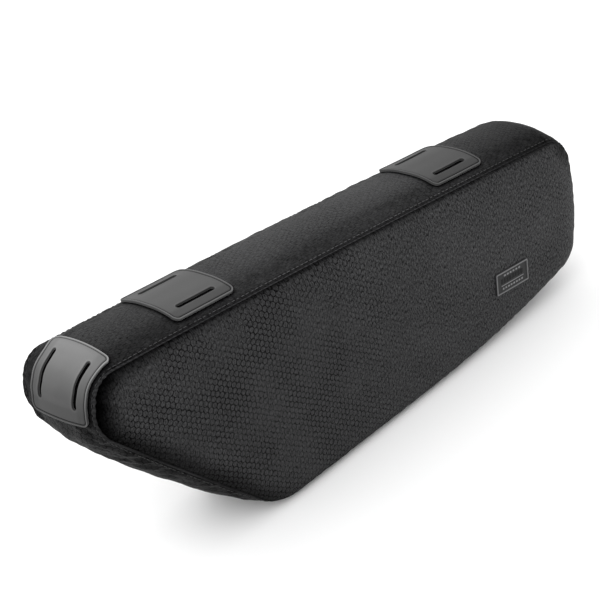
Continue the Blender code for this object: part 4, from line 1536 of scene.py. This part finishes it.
@dataclass
class ZipWelt:
    """The folded edge of the cloth round the zip's slit, and the row of stitches beside it."""

    panel: SidePanel
    radius: float = 0.7 * MM
    inset: float = 0.3 * MM
    stitch_distance: float = 2.6 * MM
    pitch: float = 3.4 * MM
    length: float = 2.4 * MM
    thread: float = 0.22 * MM

    def loop(self, distance: float, step: float) -> tuple[Array, Array]:
        """Points at equal steps on the slit's edge, moved outwards by a distance, and their directions out.

        The path has two straight sides and two half circles round the ends of the slit's line.
        """
        half = np.linalg.norm(self.panel.zip_line[1] - self.panel.zip_line[0]) / 2
        reach = self.panel.slit_width / 2 + distance
        total = 4 * half + 2 * math.pi * reach
        run = np.linspace(0, total, round(total / step), endpoint=False)
        turned = [run - 2 * half, run - 4 * half - math.pi * reach]
        angles = [np.clip(part / reach, 0, math.pi) for part in turned]
        angle = math.pi / 2 - angles[0] - angles[1]
        x = -half + np.clip(run, 0, 2 * half) - np.clip(run - 2 * half - math.pi * reach, 0, 2 * half)
        out = np.stack([np.cos(angle), np.sin(angle)], axis=-1)
        return np.stack([x, np.zeros_like(x)], axis=-1) + reach * out, out

    def make(self) -> list[Piece]:
        """Carries a round fold along the slit's edge, and sets a stitch at every pitch outside it."""
        frame = PanelFrame(self.panel, self.panel.zip_line.mean(axis=0), self.panel.crown)
        points, out = self.loop(self.inset, 0.8 * MM)
        turn = np.linspace(0, 2 * math.pi, 10, endpoint=False)
        flat = points[:, None] + self.radius * np.cos(turn)[None, :, None] * out[:, None]
        height = np.broadcast_to(0.5 * self.radius * np.sin(turn), flat.shape[:2])
        fold = Surface()
        rings = frame.place(np.concatenate([flat, height[..., None]], axis=-1))
        fold.add_grid(rings, (True, True), shade=1.0)
        welt = dress(fold.make("zip_welt", BINDING_CLOTH), "moulded_fabric")

        points, out = self.loop(self.stitch_distance, self.pitch)
        level = np.zeros((len(points), 1))
        centres = frame.place(np.concatenate([points, level], axis=-1))
        ahead = np.stack([out[:, 1], -out[:, 0]], axis=-1)
        along = frame.place(np.concatenate([points + ahead, level], axis=-1)) - centres
        outs = np.zeros((len(points), 3)) + np.array([0, self.panel.side.value, 0])
        threads = Surface()
        stitches(threads, centres, along, outs, self.length, self.thread)
        return [welt, dress(threads.make("zip_stitches", THREAD, 80), "moulded_fabric")]


@dataclass
class ZipCoil:
    """The closed coil of the zip: two rows of nylon turns that mesh in the middle."""

    panel: SidePanel
    pitch: float = 1.3 * MM
    width: float = 5.0 * MM
    radius: float = 0.42 * MM
    face: float = -1.2 * MM

    def make(self) -> Piece:
        """Sets a rounded turn across the zip at every pitch, left and right in turn."""
        line = self.panel.zip_line
        middle = line.mean(axis=0)
        reach = np.linalg.norm(line[1] - line[0]) + self.width - 1 * MM
        frame = PanelFrame(self.panel, middle, self.face)
        count = int(reach / self.pitch)
        surface = Surface()
        for side in (-1, 1):
            x = (np.arange(count) - (count - 1) / 2 + 0.25 * side) * self.pitch
            y = np.full(count, side * self.width * 0.16)
            flat = np.stack([x, y, np.zeros(count)], axis=-1)
            centres = frame.place(flat)
            along = frame.place(np.array([0.12, 1.0, 0])) - frame.place(np.zeros(3))
            out = np.array([0, self.panel.side.value, 0])
            spread = np.repeat(unit(along)[None], count, axis=0)
            outs = np.repeat(out[None], count, axis=0).astype(float)
            stitches(surface, centres, spread, outs, self.width * 0.66, self.radius)
        for side in (-1, 1):
            self.cord(surface, frame, side * self.width * 0.42, reach)
        return dress(surface.make("zip_chain_coil", COIL_NYLON, 80), "zip_fabric", "zip_chain")

    def cord(self, surface: Surface, frame: PanelFrame, y: float, reach: float) -> None:
        """Adds the sewn edge of the coil: a thin rounded strip along the zip."""
        steps, sides = 120, 8
        x = np.linspace(-reach / 2, reach / 2, steps)
        turn = np.linspace(0, 2 * math.pi, sides, endpoint=False)
        taper = np.sqrt(np.clip(1 - (2 * x / reach) ** 40, 0.0, 1))
        flat = np.stack(
            [
                np.repeat(x[:, None], sides, axis=1),
                y + np.cos(turn)[None, :] * 0.55 * MM * taper[:, None],
                -0.35 * MM + np.sin(turn)[None, :] * 0.4 * MM * taper[:, None],
            ],
            axis=-1,
        )
        points = frame.place(flat)
        first = surface.add_grid(points, (False, True), shade=np.ones(points.shape[:2]))
        surface.add_faces(first + np.arange(sides)[None, ::-1])
        surface.add_faces(first + (steps - 1) * sides + np.arange(sides)[None, :])


@dataclass
class Studio:
    """A pale floor, soft lights and the camera at the photograph's angle."""

    azimuth: float = -40.64
    elevation: float = 28.95
    roll: float = -12.21
    lens: float = 116.71
    sensor: float = 36.0
    distance: float = 1.10
    aim: tuple[float, float, float] = (-0.0043, 0.0163, 0.0742)

    def camera(self) -> Piece:
        """The camera, turned about its own axis by the roll."""
        a, e, r = (math.radians(angle) for angle in (self.azimuth, self.elevation, self.roll))
        back = Vector((math.sin(a) * math.cos(e), -math.cos(a) * math.cos(e), math.sin(e)))
        level = Vector((math.cos(a), math.sin(a), 0))
        upright = back.cross(level)
        right = math.cos(r) * level + math.sin(r) * upright
        up = back.cross(right)
        data = bpy.data.cameras.new("camera")
        data.lens = self.lens
        data.sensor_width = self.sensor
        data.sensor_fit = "HORIZONTAL"
        obj = bpy.data.objects.new("camera", data)
        turn = Matrix((right, up, back)).transposed().to_4x4()
        obj.matrix_world = Matrix.Translation(Vector(self.aim) + self.distance * back) @ turn
        bpy.context.scene.collection.objects.link(obj)
        bpy.context.scene.camera = obj
        return obj

    def area_light(
        self, name: str, place: tuple[float, float, float], size: float, power: float, tone: str
    ) -> Piece:
        """A square softbox that looks at the bag.

        Args:
            name: the light's name.
            place: where it stands.
            size: its side.
            power: its power in watts.
            tone: its colour.

        Returns:
            The light.
        """
        data = bpy.data.lights.new(name, "AREA")
        data.energy = power
        data.size = size
        data.color = linear(tone)[:3]
        obj = bpy.data.objects.new(name, data)
        obj.location = place
        obj.rotation_euler = (Vector(place) - Vector((0, 0, 0.06))).to_track_quat("Z", "Y").to_euler()
        bpy.context.scene.collection.objects.link(obj)
        return obj

    def floor(self) -> Piece:
        """A wide sheet of matt paper just under the bag."""
        surface = Surface()
        lines = np.linspace(-6, 6, 13)
        x, y = np.meshgrid(lines, lines, indexing="ij")
        surface.add_grid(np.stack([x, y, np.full_like(x, -0.0002)], axis=-1))
        obj = surface.make("studio_floor", FLOOR_PAPER)
        obj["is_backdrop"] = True
        return obj

    def build(self) -> None:
        """Sets the floor, the world, the lights and the camera."""
        self.floor()
        world = bpy.data.worlds.new("studio_world")
        world.use_nodes = True
        background = world.node_tree.nodes["Background"]
        background.inputs["Color"].default_value = linear("#ffffff")
        background.inputs["Strength"].default_value = 1.15
        bpy.context.scene.world = world
        bpy.context.scene.view_settings.view_transform = "Standard"
        self.area_light("key_softbox", (-1.0, -0.7, 1.2), 1.3, 10.0, "#ffffff")
        self.area_light("back_softbox", (-0.2, 1.3, 1.3), 1.2, 7.0, "#ffffff")
        self.camera()


def strap_pads() -> list[StrapPad]:
    """The two pads on the top and the one round the nose."""
    top = dict(length=42.0 * MM, width=44.4 * MM, slot_length=26.4 * MM, slot_spacing=28.4 * MM)
    front_centre = 81.0 * MM
    spacing = 200.9 * MM
    return [
        # Each pad's tone is painted light: the top pads shaded, the rear one more, and the nose pad lit.
        StrapPad("top_pad_front", centre=front_centre, tone=0.5, **top),
        StrapPad("top_pad_rear", centre=front_centre + spacing, tone=0.38, **top),
        StrapPad(
            "nose_pad",
            length=42.2 * MM,
            width=41.0 * MM,
            centre=-5.8 * MM,
            shift=-3.0 * MM,
            slot_length=25.4 * MM,
            slot_spacing=25.8 * MM,
            tone=1.12,
            flank_painted_shade=0.85,
            front_painted_shade=0.3,
        ),
    ]


def finish_nodes(nodes: dict[str, Piece], finishes: dict[str, Finish]) -> None:
    """Gives solids that stay in view their finish."""
    for name, finish in finishes.items():
        mesh = nodes[name].data
        mesh.materials.clear()
        mesh.materials.append(finish.material())
        attribute = mesh.attributes.new("shade", "FLOAT", "POINT")
        attribute.data.foreach_set("value", np.ones(len(mesh.vertices), np.float32))
        LOG.info("%s keeps its solid", name)


def main() -> tuple:
    """Builds the bag's pieces in order, and returns the solids' box."""
    logging.basicConfig(level=logging.INFO, format="%(name)s: %(message)s")
    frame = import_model()
    solid_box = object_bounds()
    seam = SeamLine()
    band = GussetBand(seam)
    pads = strap_pads()
    band.make(pads)
    near = SidePanel(seam, band, Side.NEAR)
    far = SidePanel(seam, band, Side.FAR)
    near.make("near_panel_cloth", "near_side_panel")
    far.make("far_panel_cloth", "far_side_panel")
    for pad in pads:
        pad.make(band)
    for side, title, slackness in ((Side.NEAR, "near", 1.0), (Side.FAR, "far", 0.3)):
        SeamBinding(band, side, slackness).make(title + "_seam_binding")
        SeamStitching(band, side).make(title + "_seam_stitches")
    LabelPatch(near).make()
    ZipCoil(far).make()
    ZipWelt(far).make()
    finish_nodes(
        frame["nodes"],
        {"zip_tape": ZIP_CLOTH, "zip_slider": SLIDER_PAINT, "zip_puller": PULLER_RUBBER},
    )
    Studio().build()
    return solid_box


if __name__ == "__main__":
    main()
